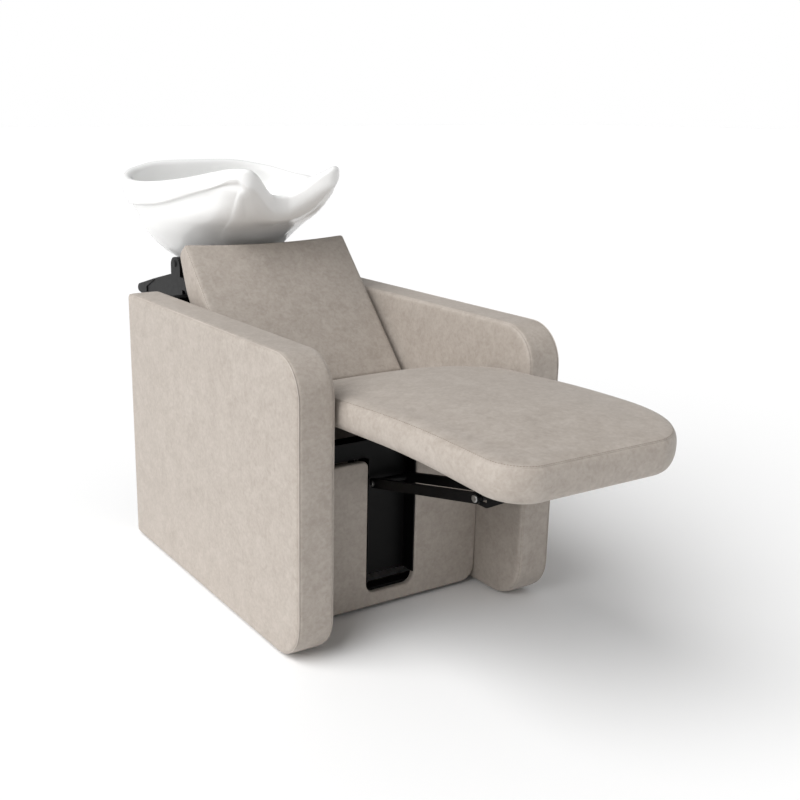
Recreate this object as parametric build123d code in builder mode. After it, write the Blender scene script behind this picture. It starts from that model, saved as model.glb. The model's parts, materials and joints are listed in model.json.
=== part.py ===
"""Salon hair washing bed: a backwash chair with upholstered arms, a one-piece
seat and leg rest on link arms, a reclined back and a tilting ceramic basin.

X runs across the bed, Y from the foot end to the basin, Z up from the floor.
The origin is on the floor, in the middle of the whole bed.
"""

from build123d import *
import os
from math import atan2, cos, degrees, radians, sin, tan

os.makedirs("parts", exist_ok=True)

# Driving dimensions of the bed, in millimetres
overall_width = 676.0
arm_length = 875.0
arm_height = 650.0
arm_thickness = 90.0
arm_corner_radius = 90.0
leg_reach = 505.0
basin_overhang = 315.0
floor_gap = 6.0

# Upholstery
cover_thickness = 3.0
board_thickness = 15.0
edge_round = 9.0

# Seat and leg rest, in degrees for the two slopes
seat_slope = 16.3
leg_slope = 2.3
foot_slope = 2.75
seat_side_gap = 11.0
seat_rear_setback = 447.0
seat_rear_height = 465.0
knee_setback = 100.0
leg_crest_reach = 214.0
pad_thickness = 66.0
pad_crown = 9.0
pad_side_bulge = 4.0
knee_bend_radius = 600.0
leg_crest_radius = 2500.0
foot_corner_radius = 75.0
pad_wrap = 8.0
seat_board_inset = 20.0
seat_board_rear_inset = 40.0

# Backrest, in degrees for its two slopes
back_slope = 47.0
back_rear_slope = 72.5
back_side_gap = 15.0
back_gap = 6.0
back_top_setback = 746.0
back_front_height = 471.0
back_top_thickness = 45.0
back_thickness = 90.0
back_crown = 12.0
back_side_crown = 3.0
back_corner_round = 12.0
back_board_inset = 22.0
neck_dip = 6.0

# Front panel with its notch
panel_setback = 158.0
panel_top = 363.0
panel_bottom = 10.0
panel_side_gap = 1.0
panel_corner_radius = 38.0
notch_width = 131.0
notch_bottom = 43.0
notch_corner_radius = 24.0
notch_top_radius = 14.0

# Steel frame
tube = 30.0
tube_wall = 2.0
lower_rail_bottom = 18.0
upper_rail_top = 384.0
front_tube_depth = 40.0
front_tube_top = 406.0
front_tube_bottom = 366.0
rear_post_inset = 15.0
rear_post_drop = 44.0
hinge_tube_setback = 492.0
floor_tube_setback = 400.0
buffer_radius = 11.0
buffer_height = 5.0
buffer_spacing = 300.0

# Channel behind the notch
channel_sheet = 3.0
channel_side_gap = 1.0
channel_depth = 42.0
channel_bottom = 71.0
channel_setback_gap = 1.0

# Rear hinge of the seat
hinge_setback = 455.0
hinge_height = 384.0
hinge_half_spacing = 170.0
hinge_pin_radius = 5.0
hinge_clearance = 0.05
hinge_plate = 4.0
hinge_lug_radius = 12.0
hinge_lug_width = 26.0
hinge_lug_length = 80.0
hinge_lug_depth = 12.0
hinge_lug_setback = 320.0
hinge_side_gap = 0.4
pin_head_radius = 8.0
pin_head = 3.0

# Link arms and their brackets
link_half_spacing = 44.5
link_bar_height = 22.0
link_bar_thickness = 8.0
link_rear_setback = 169.0
link_rear_height = 306.0
link_front_reach = 191.0
link_front_height = 384.6
link_pin_radius = 5.0
slot_travel = 17.5
slot_end_play = 1.5
slot_side_play = 0.4
slot_rim = 9.0
bracket_plate = 4.0
bracket_gap = 0.4
bracket_top_length = 150.0
bracket_rear_reach = 40.0
bracket_front_rise = 52.0
bracket_flange = 24.0
bracket_corner = 12.0
screw_head_radius = 8.0
screw_head = 4.0
spacer_wall = 3.0

# Lifting actuator
actuator_foot_setback = 400.0
actuator_foot_height = 92.0
actuator_head_setback = 252.0
actuator_head_height = 428.0
actuator_body_radius = 22.0
actuator_body_share = 0.62
actuator_rod_radius = 9.0
actuator_eye_radius = 12.0
actuator_eye_width = 20.0
actuator_pin_radius = 5.0
actuator_eye_play = 1.2
actuator_cheek = 4.0
actuator_rod_engagement = 60.0
actuator_base_width = 44.0
actuator_clevis_length = 60.0
actuator_side_gap = 0.4
motor_radius = 24.0
motor_length = 92.0
motor_drop = 8.0
gearbox_height = 46.0

# Basin
basin_setback = 598.0
basin_width = 530.0
basin_wall = 13.0
basin_rim_step = 9.0
basin_bottom = 712.0
basin_floor = 14.0
horn_height = 975.0
crest_low_height = 930.0
band_low_height = 864.0
band_high_height = 924.0
neck_front_width = 250.0
neck_front_floor = 130.0
neck_back_width = 176.0
neck_back_floor = 90.0
neck_height = 918.0
neck_depth_share = 0.24
neck_round = 26.0
waste_setback = 968.0
waste_hole_radius = 30.0

# Basin outline, half of it from the front to the back: shares of the half
# width and of the length
outline_shares = (
    (0.00, 0.000), (0.34, 0.003), (0.47, 0.030), (0.56, 0.110), (0.64, 0.220),
    (0.74, 0.350), (0.90, 0.510), (0.98, 0.630), (0.97, 0.740), (0.84, 0.880),
    (0.56, 0.975), (0.00, 1.000),
)
# Crest of the rim: shares of the length and of the rise from side to horn
crest_shares = (
    (-0.05, 1.02), (0.05, 0.97), (0.16, 0.78), (0.26, 0.58), (0.36, 0.36),
    (0.51, 0.09), (0.61, 0.00), (0.76, 0.09), (0.87, 0.24), (0.95, 0.60),
    (1.02, 1.04),
)
# Lower edge of the rim band: shares of the length and of its rise
band_shares = (
    (-0.05, 0.40), (0.09, 0.90), (0.17, 1.00), (0.28, 0.82), (0.40, 0.40),
    (0.52, 0.12), (0.68, 0.00), (1.05, 0.20),
)
# Bowl levels: shares of the height from floor to horn, then of the half
# width, and where the level starts and ends along the length
bowl_level_shares = (
    (1.10, 1.000, 0.008, 0.984), (0.80, 1.000, 0.014, 0.987),
    (0.50, 0.935, 0.160, 0.962), (0.28, 0.815, 0.310, 0.930),
    (0.12, 0.670, 0.415, 0.860), (0.00, 0.500, 0.475, 0.780),
)

# Basin support
console_width = 372.0
console_basin_gap = 28.0
console_wall = 6.0
console_back_gap = 4.0
console_front_setback = 800.0
console_front_drop = 32.0
console_nose_setback = 1199.0
console_nose_drop = 56.0
console_nose_base_drop = 74.0
console_nose_rake = 24.0
console_top_setback = 950.0
console_shoulder_drop = 26.0
console_shoulder_setback = 1060.0
console_under_drop = 128.0
console_round = 10.0
scoop_depth = 3.0
scoop_front_drop = 26.0
scoop_bend_setback = 1062.0
scoop_bend_drop = 29.0
scoop_rear_setback = 1120.0
scoop_rear_drop = 57.0
post_setback = 884.0
post_length = 58.0
post_width = 20.0
post_rise = 49.0
post_round = 24.0
tilt_axis_setback = 915.0
tilt_axis_rise = 4.0
tilt_pin_radius = 6.0
cradle_plate = 5.0
cradle_length = 150.0
cradle_gap = 0.5
cradle_lug_radius = 13.0
cradle_lug_thickness = 8.0
cradle_half_width = 110.0
lug_clearance = 0.5
cradle_waste_radius = 48.0
console_waste_radius = 52.0
support_plate = 8.0
lever_hub_radius = 14.0
lever_hub_width = 14.0
lever_length = 78.0
lever_thickness = 7.0
lever_rise = 10.0
lever_gap = 0.5
lever_edge = 2.0

# Waste fitting
waste_flange_radius = 37.0
waste_flange_thickness = 3.0
waste_tube_radius = 29.5
waste_tube_wall = 3.0
waste_gasket_thickness = 3.0
waste_gasket_radius = 39.0
waste_nut_radius = 43.0
waste_nut_height = 12.0
waste_outlet_radius = 20.0
waste_outlet_length = 58.0
waste_cone_length = 16.0
waste_tube_length = 40.0
strainer_hole_radius = 2.6
strainer_hole_circle = 15.0
strainer_hole_count = 8

# Back panel, feet, bolts and stays
back_panel_thickness = 12.0
back_panel_bottom = 30.0
pipe_hole_radius = 32.0
pipe_hole_height = 140.0
foot_radius = 18.0
foot_height = 9.0
foot_stem_radius = 5.0
foot_inset = 70.0
bolt_radius = 4.0
bolt_head_radius = 7.0
bolt_head = 4.0
bolt_bite = 26.0
bolt_inset = 60.0
stay_plate = 6.0
stay_half_spacing = 150.0
stay_height = 26.0
stay_flange_width = 30.0
stay_flange_length = 64.0
stay_flange_sheet = 4.0
stay_drop = 2.0
gusset_rise = 26.0
overrun = 20.0

# Places that follow from the driving dimensions
arm_front = leg_reach - (leg_reach + arm_length + basin_overhang) / 2
inner_half = overall_width / 2 - arm_thickness
arm_base = floor_gap
arm_top = floor_gap + arm_height
arm_back = arm_front + arm_length
foot_end = arm_front - leg_reach
basin_front = arm_front + basin_setback
basin_length = arm_length + basin_overhang - basin_setback
waste_y = arm_front + waste_setback
hinge_y = arm_front + hinge_setback
rear_pivot_y = arm_front + link_rear_setback
front_pivot_y = arm_front - link_front_reach
panel_front = arm_front + panel_setback
panel_back = panel_front + board_thickness + cover_thickness
rear_post_y = arm_back - rear_post_inset - tube
tilt_y = arm_front + tilt_axis_setback
rail_x = inner_half - tube
seat_width = 2 * (inner_half - seat_side_gap)
back_width = 2 * (inner_half - back_side_gap)
console_top_height = basin_bottom - console_basin_gap
console_front_base = console_top_height - console_front_drop
console_shoulder_height = console_top_height - console_shoulder_drop
console_nose_height = console_top_height - console_nose_drop
console_nose_base = console_top_height - console_nose_base_drop
console_under_height = console_top_height - console_under_drop
scoop_front_height = console_top_height - scoop_front_drop
scoop_bend_height = console_top_height - scoop_bend_drop
scoop_rear_height = console_top_height - scoop_rear_drop
post_top = console_top_height + post_rise
rear_post_top = console_top_height - rear_post_drop
back_panel_top = rear_post_top
tilt_axis_height = basin_bottom + tilt_axis_rise

# A sitter faces the foot end, so their right side is -X
sides = (("right", -1), ("left", 1))


def slab(inset):
    """One arm, shrunk all round by inset, on the +X side."""
    radius = arm_corner_radius - inset
    with BuildPart(mode=Mode.PRIVATE) as arm:
        with BuildSketch(Plane.YZ.offset(inner_half + inset)):
            with BuildLine():
                FilletPolyline(
                    (arm_back - inset, arm_base + inset),
                    (arm_front + inset, arm_base + inset),
                    (arm_front + inset, arm_top - inset),
                    (arm_back - inset, arm_top - inset),
                    radius=radius,
                )
                Line(
                    (arm_back - inset, arm_top - inset),
                    (arm_back - inset, arm_base + inset),
                )
            make_face()
        extrude(amount=arm_thickness - 2 * inset)
        rim = arm.edges().filter_by(lambda edge: abs(edge.tangent_at(0).X) < 0.5)
        if inset:
            chamfer(rim, length=inset)
        else:
            fillet(rim, radius=edge_round)
    return arm.part


def rods(places, radius, start, length):
    """Round bars along X at (y, z) places, from x = start."""
    with BuildPart(mode=Mode.PRIVATE) as bars:
        with BuildSketch(Plane.YZ.offset(start)):
            with Locations(*places):
                Circle(radius)
        extrude(amount=length)
    return bars.part


def box_between(low, high):
    """A square-cornered block between two corners."""
    size = [top - bottom for bottom, top in zip(low, high)]
    middle = [(top + bottom) / 2 for bottom, top in zip(low, high)]
    with BuildPart(mode=Mode.PRIVATE) as block:
        with Locations(tuple(middle)):
            Box(*size)
    return block.part


def hollow_tube(low, high, axis):
    """Square steel tube between two corners, open at both ends along axis."""
    inner_low = [value if index == axis else value + tube_wall for index, value in enumerate(low)]
    inner_high = [value if index == axis else value - tube_wall for index, value in enumerate(high)]
    outer = box_between(low, high)
    inner = box_between(inner_low, inner_high)
    with BuildPart(mode=Mode.PRIVATE) as pipe:
        add(outer)
        add(inner, mode=Mode.SUBTRACT)
    return pipe.part


def pad_line(depth):
    """Corners of the seat pad's side line, depth below its seam."""
    rear = (arm_front + seat_rear_setback, seat_rear_height)
    rise = (seat_rear_setback - knee_setback) * tan(radians(seat_slope))
    knee = (arm_front + knee_setback, rear[1] + rise)
    rise = (knee_setback + leg_crest_reach) * tan(radians(leg_slope))
    crest = (arm_front - leg_crest_reach, knee[1] + rise)
    fall = (leg_reach - leg_crest_reach) * tan(radians(foot_slope))
    foot = (foot_end, crest[1] - fall)
    slopes = (seat_slope, seat_slope, leg_slope, -foot_slope, -foot_slope)
    corners = []
    for index, (y, z) in enumerate((rear, knee, crest, foot)):
        before, after = radians(slopes[index]), radians(slopes[index + 1])
        reach = depth / cos((before - after) / 2)
        lean = (before + after) / 2
        corners.append((y - reach * sin(lean), z - reach * cos(lean)))
    return corners


def pad_bends(depth):
    return (knee_bend_radius - depth, leg_crest_radius - depth)


def pad_layer(half_width, top_depth, bottom_depth):
    """A layer of the seat pad between two depths below its seam."""
    with BuildPart(mode=Mode.PRIVATE) as layer:
        with BuildSketch(Plane.YZ.offset(-half_width)):
            with BuildLine():
                upper = FilletPolyline(*pad_line(top_depth), radius=pad_bends(top_depth))
                lower = FilletPolyline(*pad_line(bottom_depth), radius=pad_bends(bottom_depth))
                Line(upper @ 0, lower @ 0)
                Line(upper @ 1, lower @ 1)
            make_face()
        extrude(amount=2 * half_width)
    return layer.part


def pad_plan(inset, rear_inset):
    """Upright prism with the seat pad's outline from above, shrunk."""
    length = leg_reach + seat_rear_setback - inset - rear_inset
    middle = foot_end + inset + length / 2
    with BuildPart(mode=Mode.PRIVATE) as prism:
        with BuildSketch() as outline:
            with Locations((0, middle)):
                Rectangle(seat_width - 2 * inset, length)
            foot_corners = outline.vertices().group_by(Axis.Y)[0]
            fillet(foot_corners, radius=foot_corner_radius - inset)
        extrude(amount=arm_top + arm_height)
    return prism.part


def seat_under(setback, depth):
    """Height of the sloping seat at a setback, depth below its seam."""
    rise = (seat_rear_setback - setback) * tan(radians(seat_slope))
    return seat_rear_height + rise - depth / cos(radians(seat_slope))


def plate(outline, start, thickness):
    """Flat plate across X with a polygon outline in (y, z)."""
    with BuildPart(mode=Mode.PRIVATE) as sheet:
        with BuildSketch(Plane.YZ.offset(start)):
            with BuildLine():
                Polyline(*outline, close=True)
            make_face()
        extrude(amount=thickness)
    return sheet.part


def basin_outline(level, width, start, end, inset):
    """Closed outline of the basin at a height, shrunk by inset."""
    half = basin_width / 2 * width - inset
    near = basin_front + basin_length * start + inset
    far = basin_front + basin_length * end - inset
    right_half = [(half * x, near + (far - near) * y) for x, y in outline_shares]
    left_half = [(-x, y) for x, y in reversed(right_half[1:-1])]
    with BuildSketch(Plane.XY.offset(level), mode=Mode.PRIVATE) as outline:
        with BuildLine():
            Spline(*right_half, *left_half, periodic=True)
        make_face()
    return outline.sketch


def bowl_form(inset, lift):
    """Lofted bowl, shrunk by inset and raised by lift."""
    with BuildPart(mode=Mode.PRIVATE) as bowl:
        for height_share, width, start, end in bowl_level_shares:
            level = basin_bottom + (horn_height - basin_bottom) * height_share + lift
            add(basin_outline(level, width, start, end, inset))
        loft()
    return bowl.part


def along_basin(share):
    return basin_front + basin_length * share


arm_bolt_places = [
    (y, level)
    for y in (panel_back + front_tube_depth + bolt_inset, rear_post_y - bolt_inset)
    for level in (lower_rail_bottom + tube / 2, upper_rail_top - tube / 2)
]
bolt_shanks = rods(arm_bolt_places, bolt_radius, rail_x, tube + bolt_bite)

# Upholstered side arms
arm_solid = slab(0)
core_solid = slab(cover_thickness)
for side, sign in sides:
    with BuildPart() as arm_core:
        add(core_solid)
        add(bolt_shanks, mode=Mode.SUBTRACT)
        if sign < 0:
            mirror(about=Plane.YZ, mode=Mode.REPLACE)
    arm_core.part.label = f"arm_core_{side}"
    export_step(arm_core.part, f"parts/arm_core_{side}.step")

    with BuildPart() as arm_cover:
        add(arm_solid)
        add(core_solid, mode=Mode.SUBTRACT)
        add(bolt_shanks, mode=Mode.SUBTRACT)
        if sign < 0:
            mirror(about=Plane.YZ, mode=Mode.REPLACE)
    arm_cover.part.label = f"arm_cover_{side}"
    export_step(arm_cover.part, f"parts/arm_cover_{side}.step")


def panel_form(inset, thickness):
    """Front panel with its open-topped notch, shrunk by inset, from the back."""
    half = inner_half - panel_side_gap - inset
    notch_half = notch_width / 2 + inset
    with BuildPart(mode=Mode.PRIVATE) as panel:
        with BuildSketch(Plane.XZ.offset(-panel_back)):
            with BuildLine():
                FilletPolyline(
                    (0, notch_bottom - inset),
                    (notch_half, notch_bottom - inset),
                    (notch_half, panel_top - inset),
                    (half, panel_top - inset),
                    (half, panel_bottom + inset),
                    (0, panel_bottom + inset),
                    radius=(
                        notch_corner_radius + inset,
                        notch_top_radius - inset,
                        board_thickness / 2,
                        panel_corner_radius - inset,
                    ),
                )
                Line((0, panel_bottom + inset), (0, notch_bottom - inset))
            make_face()
            mirror(about=Plane.YZ)
        extrude(amount=thickness)
    return panel.part


# Front panel between the arms: a board with a covering over front and edges
with BuildPart() as front_panel_board:
    add(panel_form(cover_thickness, board_thickness))
front_panel_board.part.label = "front_panel_board"
export_step(front_panel_board.part, "parts/front_panel_board.step")

with BuildPart() as front_panel_cover:
    add(panel_form(0, board_thickness + cover_thickness))
    add(front_panel_board.part, mode=Mode.SUBTRACT)
front_panel_cover.part.label = "front_panel_cover"
export_step(front_panel_cover.part, "parts/front_panel_cover.step")

# Welded base frame: rails along the arms, posts and cross tubes
frame_front = panel_back
rail_outer = inner_half
lower_top = lower_rail_bottom + tube
upper_bottom = upper_rail_top - tube
front_tube_back = frame_front + front_tube_depth
for side, sign in sides:
    inner, outer = sorted((sign * rail_x, sign * rail_outer))
    lower_tube = hollow_tube(
        (inner, frame_front, lower_rail_bottom),
        (outer, rear_post_y + tube, lower_top),
        1,
    )
    upper_tube = hollow_tube(
        (inner, front_tube_back, upper_bottom),
        (outer, rear_post_y, upper_rail_top),
        1,
    )
    front_tube_post = hollow_tube(
        (inner, frame_front, lower_top),
        (outer, frame_front + tube, front_tube_bottom),
        2,
    )
    rear_tube_post = hollow_tube(
        (inner, rear_post_y, lower_top),
        (outer, rear_post_y + tube, rear_post_top),
        2,
    )
    rail_holes = mirror(bolt_shanks, about=Plane.YZ) if sign < 0 else bolt_shanks

    with BuildPart() as lower_rail:
        add(lower_tube)
        add(rail_holes, mode=Mode.SUBTRACT)
    lower_rail.part.label = f"lower_rail_{side}"
    export_step(lower_rail.part, f"parts/lower_rail_{side}.step")

    with BuildPart() as upper_rail:
        add(upper_tube)
        add(rail_holes, mode=Mode.SUBTRACT)
    upper_rail.part.label = f"upper_rail_{side}"
    export_step(upper_rail.part, f"parts/upper_rail_{side}.step")

    with BuildPart() as front_post:
        add(front_tube_post)
    front_post.part.label = f"front_post_{side}"
    export_step(front_post.part, f"parts/front_post_{side}.step")

    with BuildPart() as rear_post:
        add(rear_tube_post)
    rear_post.part.label = f"rear_post_{side}"
    export_step(rear_post.part, f"parts/rear_post_{side}.step")

front_bar = hollow_tube(
    (-rail_outer, frame_front, front_tube_bottom),
    (rail_outer, front_tube_back, front_tube_top),
    0,
)
with BuildPart() as front_cross_tube:
    add(front_bar)
front_cross_tube.part.label = "front_cross_tube"
export_step(front_cross_tube.part, "parts/front_cross_tube.step")

rear_bar = hollow_tube(
    (-rail_x, rear_post_y, rear_post_top - tube),
    (rail_x, rear_post_y + tube, rear_post_top),
    0,
)
with BuildPart() as rear_cross_tube:
    add(rear_bar)
rear_cross_tube.part.label = "rear_cross_tube"
export_step(rear_cross_tube.part, "parts/rear_cross_tube.step")

hinge_tube_y = arm_front + hinge_tube_setback
hinge_bar = hollow_tube(
    (-rail_x, hinge_tube_y - tube / 2, upper_bottom),
    (rail_x, hinge_tube_y + tube / 2, upper_rail_top),
    0,
)
with BuildPart() as hinge_cross_tube:
    add(hinge_bar)
hinge_cross_tube.part.label = "hinge_cross_tube"
export_step(hinge_cross_tube.part, "parts/hinge_cross_tube.step")

floor_tube_middles = (
    frame_front + tube / 2,
    arm_front + floor_tube_setback,
    rear_post_y + tube / 2,
)
floor_bars = [
    hollow_tube(
        (-rail_x, middle - tube / 2, lower_rail_bottom),
        (rail_x, middle + tube / 2, lower_top),
        0,
    )
    for middle in floor_tube_middles
]
with BuildPart() as floor_cross_tubes:
    for floor_bar in floor_bars:
        add(floor_bar)
floor_cross_tubes.part.label = "floor_cross_tubes"
export_step(floor_cross_tubes.part, "parts/floor_cross_tubes.step")

# Bolts that hold the arms to the rails
bolt_heads = rods(arm_bolt_places, bolt_head_radius, rail_x - bolt_head, bolt_head)
with BuildPart() as arm_bolts:
    add(bolt_shanks)
    add(bolt_heads)
    mirror(about=Plane.YZ)
arm_bolts.part.label = "arm_bolts"
export_step(arm_bolts.part, "parts/arm_bolts.step")

# Levelling feet under the lower rails
foot_places = [
    (sign * (rail_x + tube / 2), y)
    for _, sign in sides
    for y in (frame_front + foot_inset, rear_post_y - foot_inset / 2)
]
with BuildPart() as levelling_feet:
    with BuildSketch():
        with Locations(*foot_places):
            Circle(foot_radius)
    extrude(amount=foot_height)
    chamfer(levelling_feet.edges().group_by(Axis.Z)[-1], length=foot_height / 4)
    with BuildSketch(Plane.XY.offset(foot_height)):
        with Locations(*foot_places):
            Circle(foot_stem_radius)
    extrude(amount=lower_rail_bottom - foot_height)
levelling_feet.part.label = "levelling_feet"
export_step(levelling_feet.part, "parts/levelling_feet.step")

# Rubber buffers that the lowered seat rests on
with BuildPart() as seat_buffers:
    with BuildSketch(Plane.XY.offset(front_tube_top)):
        with Locations((0, frame_front + front_tube_depth / 2)):
            with GridLocations(buffer_spacing, 0, 2, 1):
                Circle(buffer_radius)
    extrude(amount=buffer_height)
    chamfer(seat_buffers.edges().group_by(Axis.Z)[-1], length=buffer_height / 3)
seat_buffers.part.label = "seat_buffers"
export_step(seat_buffers.part, "parts/seat_buffers.step")

# Sheet channel behind the notch, which carries the link arms
channel_half = notch_width / 2 - channel_side_gap
channel_front = panel_front + channel_setback_gap
pivot_place = (rear_pivot_y, link_rear_height)
with BuildPart() as link_channel:
    with BuildSketch(Plane.XY.offset(channel_bottom)):
        with Locations((0, channel_front + channel_depth / 2)):
            Rectangle(2 * channel_half, channel_depth)
        with Locations((0, channel_front + (channel_depth - channel_sheet) / 2)):
            Rectangle(
                2 * (channel_half - channel_sheet),
                channel_depth - channel_sheet,
                mode=Mode.SUBTRACT,
            )
    extrude(amount=front_tube_bottom - channel_bottom)
    add(
        rods([pivot_place], link_pin_radius + hinge_clearance, -channel_half, 2 * channel_half),
        mode=Mode.SUBTRACT,
    )
link_channel.part.label = "link_channel"
export_step(link_channel.part, "parts/link_channel.step")

# Moulded board under the seat and leg cushion
board_top = pad_thickness - pad_wrap
board_low = board_top + board_thickness
board_half = seat_width / 2 - seat_board_inset
with BuildPart() as seat_board:
    add(pad_layer(board_half, board_top, board_low))
    add(pad_plan(seat_board_inset, seat_board_rear_inset), mode=Mode.INTERSECT)
seat_board.part.label = "seat_board"
export_step(seat_board.part, "parts/seat_board.step")

# Seat and leg cushion in one piece, crowned and drawn in along its seams
seam_half = seat_width / 2 - pad_side_bulge
with BuildPart() as seat_cushion:
    with BuildLine(Plane.YZ) as pad_route:
        FilletPolyline(*pad_line(0), radius=pad_bends(0))
    route = pad_route.wire()
    with BuildSketch(Plane(origin=route @ 0, x_dir=(1, 0, 0), z_dir=route % 0)):
        with BuildLine():
            ThreePointArc((seam_half, 0), (0, pad_crown), (-seam_half, 0))
            ThreePointArc(
                (-seam_half, 0),
                (-seat_width / 2, -pad_thickness / 2),
                (-seam_half, -pad_thickness),
            )
            Line((-seam_half, -pad_thickness), (seam_half, -pad_thickness))
            ThreePointArc(
                (seam_half, -pad_thickness),
                (seat_width / 2, -pad_thickness / 2),
                (seam_half, 0),
            )
        make_face()
    sweep(path=route)
    add(pad_plan(0, 0), mode=Mode.INTERSECT)
    add(seat_board.part, mode=Mode.SUBTRACT)
seat_cushion.part.label = "seat_cushion"
export_step(seat_cushion.part, "parts/seat_cushion.step")

# Rear hinge: lugs under the seat board turn on pins held between fixed cheeks
hinge_place = (hinge_y, hinge_height)
lug_front_y = arm_front + hinge_lug_setback
lug_foot_y = lug_front_y + hinge_lug_length
lug_outline = (
    (hinge_y, hinge_height + hinge_lug_radius),
    (lug_foot_y, seat_under(hinge_lug_setback + hinge_lug_length, board_top)),
    (lug_front_y, seat_under(hinge_lug_setback, board_top)),
    (lug_front_y, seat_under(hinge_lug_setback, board_low + hinge_lug_depth)),
    (hinge_y, hinge_height - hinge_lug_radius),
)
pad_bulk = pad_layer(seat_width, 0, board_low)
hinge_flange = pad_layer(hinge_lug_width / 2, board_low, board_low + hinge_plate)
flange_zone = box_between(
    (-hinge_lug_width / 2, lug_front_y, 0),
    (hinge_lug_width / 2, lug_foot_y, seat_rear_height + arm_height),
)
with BuildPart(mode=Mode.PRIVATE) as hinge_lug:
    add(plate(lug_outline, -hinge_plate / 2, hinge_plate))
    add(rods([hinge_place], hinge_lug_radius, -hinge_plate / 2, hinge_plate))
    add(pad_bulk, mode=Mode.SUBTRACT)
    add(hinge_flange & flange_zone)
    add(
        rods([hinge_place], hinge_pin_radius + hinge_clearance, -hinge_plate, 2 * hinge_plate),
        mode=Mode.SUBTRACT,
    )
hinge_shifts = [Location((sign * hinge_half_spacing, 0, 0)) for _, sign in sides]
with BuildPart() as seat_hinge_lugs:
    for shift in hinge_shifts:
        add(hinge_lug.part.moved(shift))
seat_hinge_lugs.part.label = "seat_hinge_lugs"
export_step(seat_hinge_lugs.part, "parts/seat_hinge_lugs.step")

tube_face = hinge_tube_y - tube / 2
cheek_outline = (
    (hinge_y, hinge_height + hinge_lug_radius),
    (tube_face, upper_rail_top),
    (tube_face, upper_bottom),
    (hinge_y, hinge_height - hinge_lug_radius),
)
cheek_start = hinge_plate / 2 + hinge_side_gap
with BuildPart(mode=Mode.PRIVATE) as hinge_cheeks:
    add(plate(cheek_outline, cheek_start, hinge_plate))
    add(rods([hinge_place], hinge_lug_radius, cheek_start, hinge_plate))
    mirror(about=Plane.YZ)
    add(
        rods([hinge_place], hinge_pin_radius, -hinge_lug_width, 2 * hinge_lug_width),
        mode=Mode.SUBTRACT,
    )
with BuildPart() as seat_hinge_brackets:
    for shift in hinge_shifts:
        add(hinge_cheeks.part.moved(shift))
seat_hinge_brackets.part.label = "seat_hinge_brackets"
export_step(seat_hinge_brackets.part, "parts/seat_hinge_brackets.step")

pin_half = cheek_start + hinge_plate
with BuildPart(mode=Mode.PRIVATE) as hinge_pin:
    add(rods([hinge_place], hinge_pin_radius, -pin_half, 2 * pin_half))
    add(rods([hinge_place], pin_head_radius, pin_half, pin_head))
    mirror(about=Plane.YZ)
with BuildPart() as seat_hinge_pins:
    for shift in hinge_shifts:
        add(hinge_pin.part.moved(shift))
seat_hinge_pins.part.label = "seat_hinge_pins"
export_step(seat_hinge_pins.part, "parts/seat_hinge_pins.step")

# Link arms, which turn on a rod through the channel and carry the front rod
front_pivot = (front_pivot_y, link_front_height)
link_rise = link_front_height - link_rear_height
link_run = front_pivot_y - rear_pivot_y
link_length = (link_run**2 + link_rise**2) ** 0.5
link_lean = degrees(atan2(link_rise, link_run))
bar_start = link_half_spacing - link_bar_thickness / 2
bar_end = link_half_spacing + link_bar_thickness / 2
bar_middle = ((rear_pivot_y + front_pivot_y) / 2, (link_rear_height + link_front_height) / 2)
for side, sign in sides:
    with BuildPart() as link_arm:
        with BuildSketch(Plane.YZ.offset(min(sign * bar_start, sign * bar_end))):
            with Locations(bar_middle):
                SlotCenterToCenter(link_length, link_bar_height, rotation=link_lean)
            with Locations(pivot_place, front_pivot):
                Circle(link_pin_radius, mode=Mode.SUBTRACT)
        extrude(amount=link_bar_thickness)
    link_arm.part.label = f"link_arm_{side}"
    export_step(link_arm.part, f"parts/link_arm_{side}.step")

with BuildPart() as link_rear_rod:
    add(rods([pivot_place], link_pin_radius, -channel_half, 2 * channel_half))
link_rear_rod.part.label = "link_rear_rod"
export_step(link_rear_rod.part, "parts/link_rear_rod.step")

with BuildPart() as link_front_rod:
    add(rods([front_pivot], link_pin_radius, -bar_end, 2 * bar_end))
link_front_rod.part.label = "link_front_rod"
export_step(link_front_rod.part, "parts/link_front_rod.step")

# Zinc screw heads on the outer faces of the link arms
screw_plane = Plane.YZ.offset(bar_end)
with BuildPart() as link_screws:
    with BuildSketch(screw_plane):
        with Locations(front_pivot, pivot_place):
            Circle(screw_head_radius)
    extrude(amount=screw_head)
    chamfer(link_screws.edges().group_by(Axis.X)[-1], length=screw_head / 4)
    with BuildSketch(screw_plane):
        with Locations(pivot_place):
            Circle(link_pin_radius)
    extrude(amount=screw_head, mode=Mode.SUBTRACT)
    mirror(about=Plane.YZ)
link_screws.part.label = "link_screws"
export_step(link_screws.part, "parts/link_screws.step")

# Spacer tubes that keep the link arms apart
bracket_outer = bar_start - bracket_gap
bracket_inner = bracket_outer - bracket_plate
front_spacer_half = bracket_inner - bracket_gap
with BuildPart() as link_spacers:
    add(
        rods(
            [front_pivot],
            link_pin_radius + spacer_wall,
            -front_spacer_half,
            2 * front_spacer_half,
        )
    )
    add(rods([pivot_place], link_pin_radius + spacer_wall, -bar_start, 2 * bar_start))
    add(
        rods([front_pivot, pivot_place], link_pin_radius, -channel_half, 2 * channel_half),
        mode=Mode.SUBTRACT,
    )
link_spacers.part.label = "link_spacers"
export_step(link_spacers.part, "parts/link_spacers.step")

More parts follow.
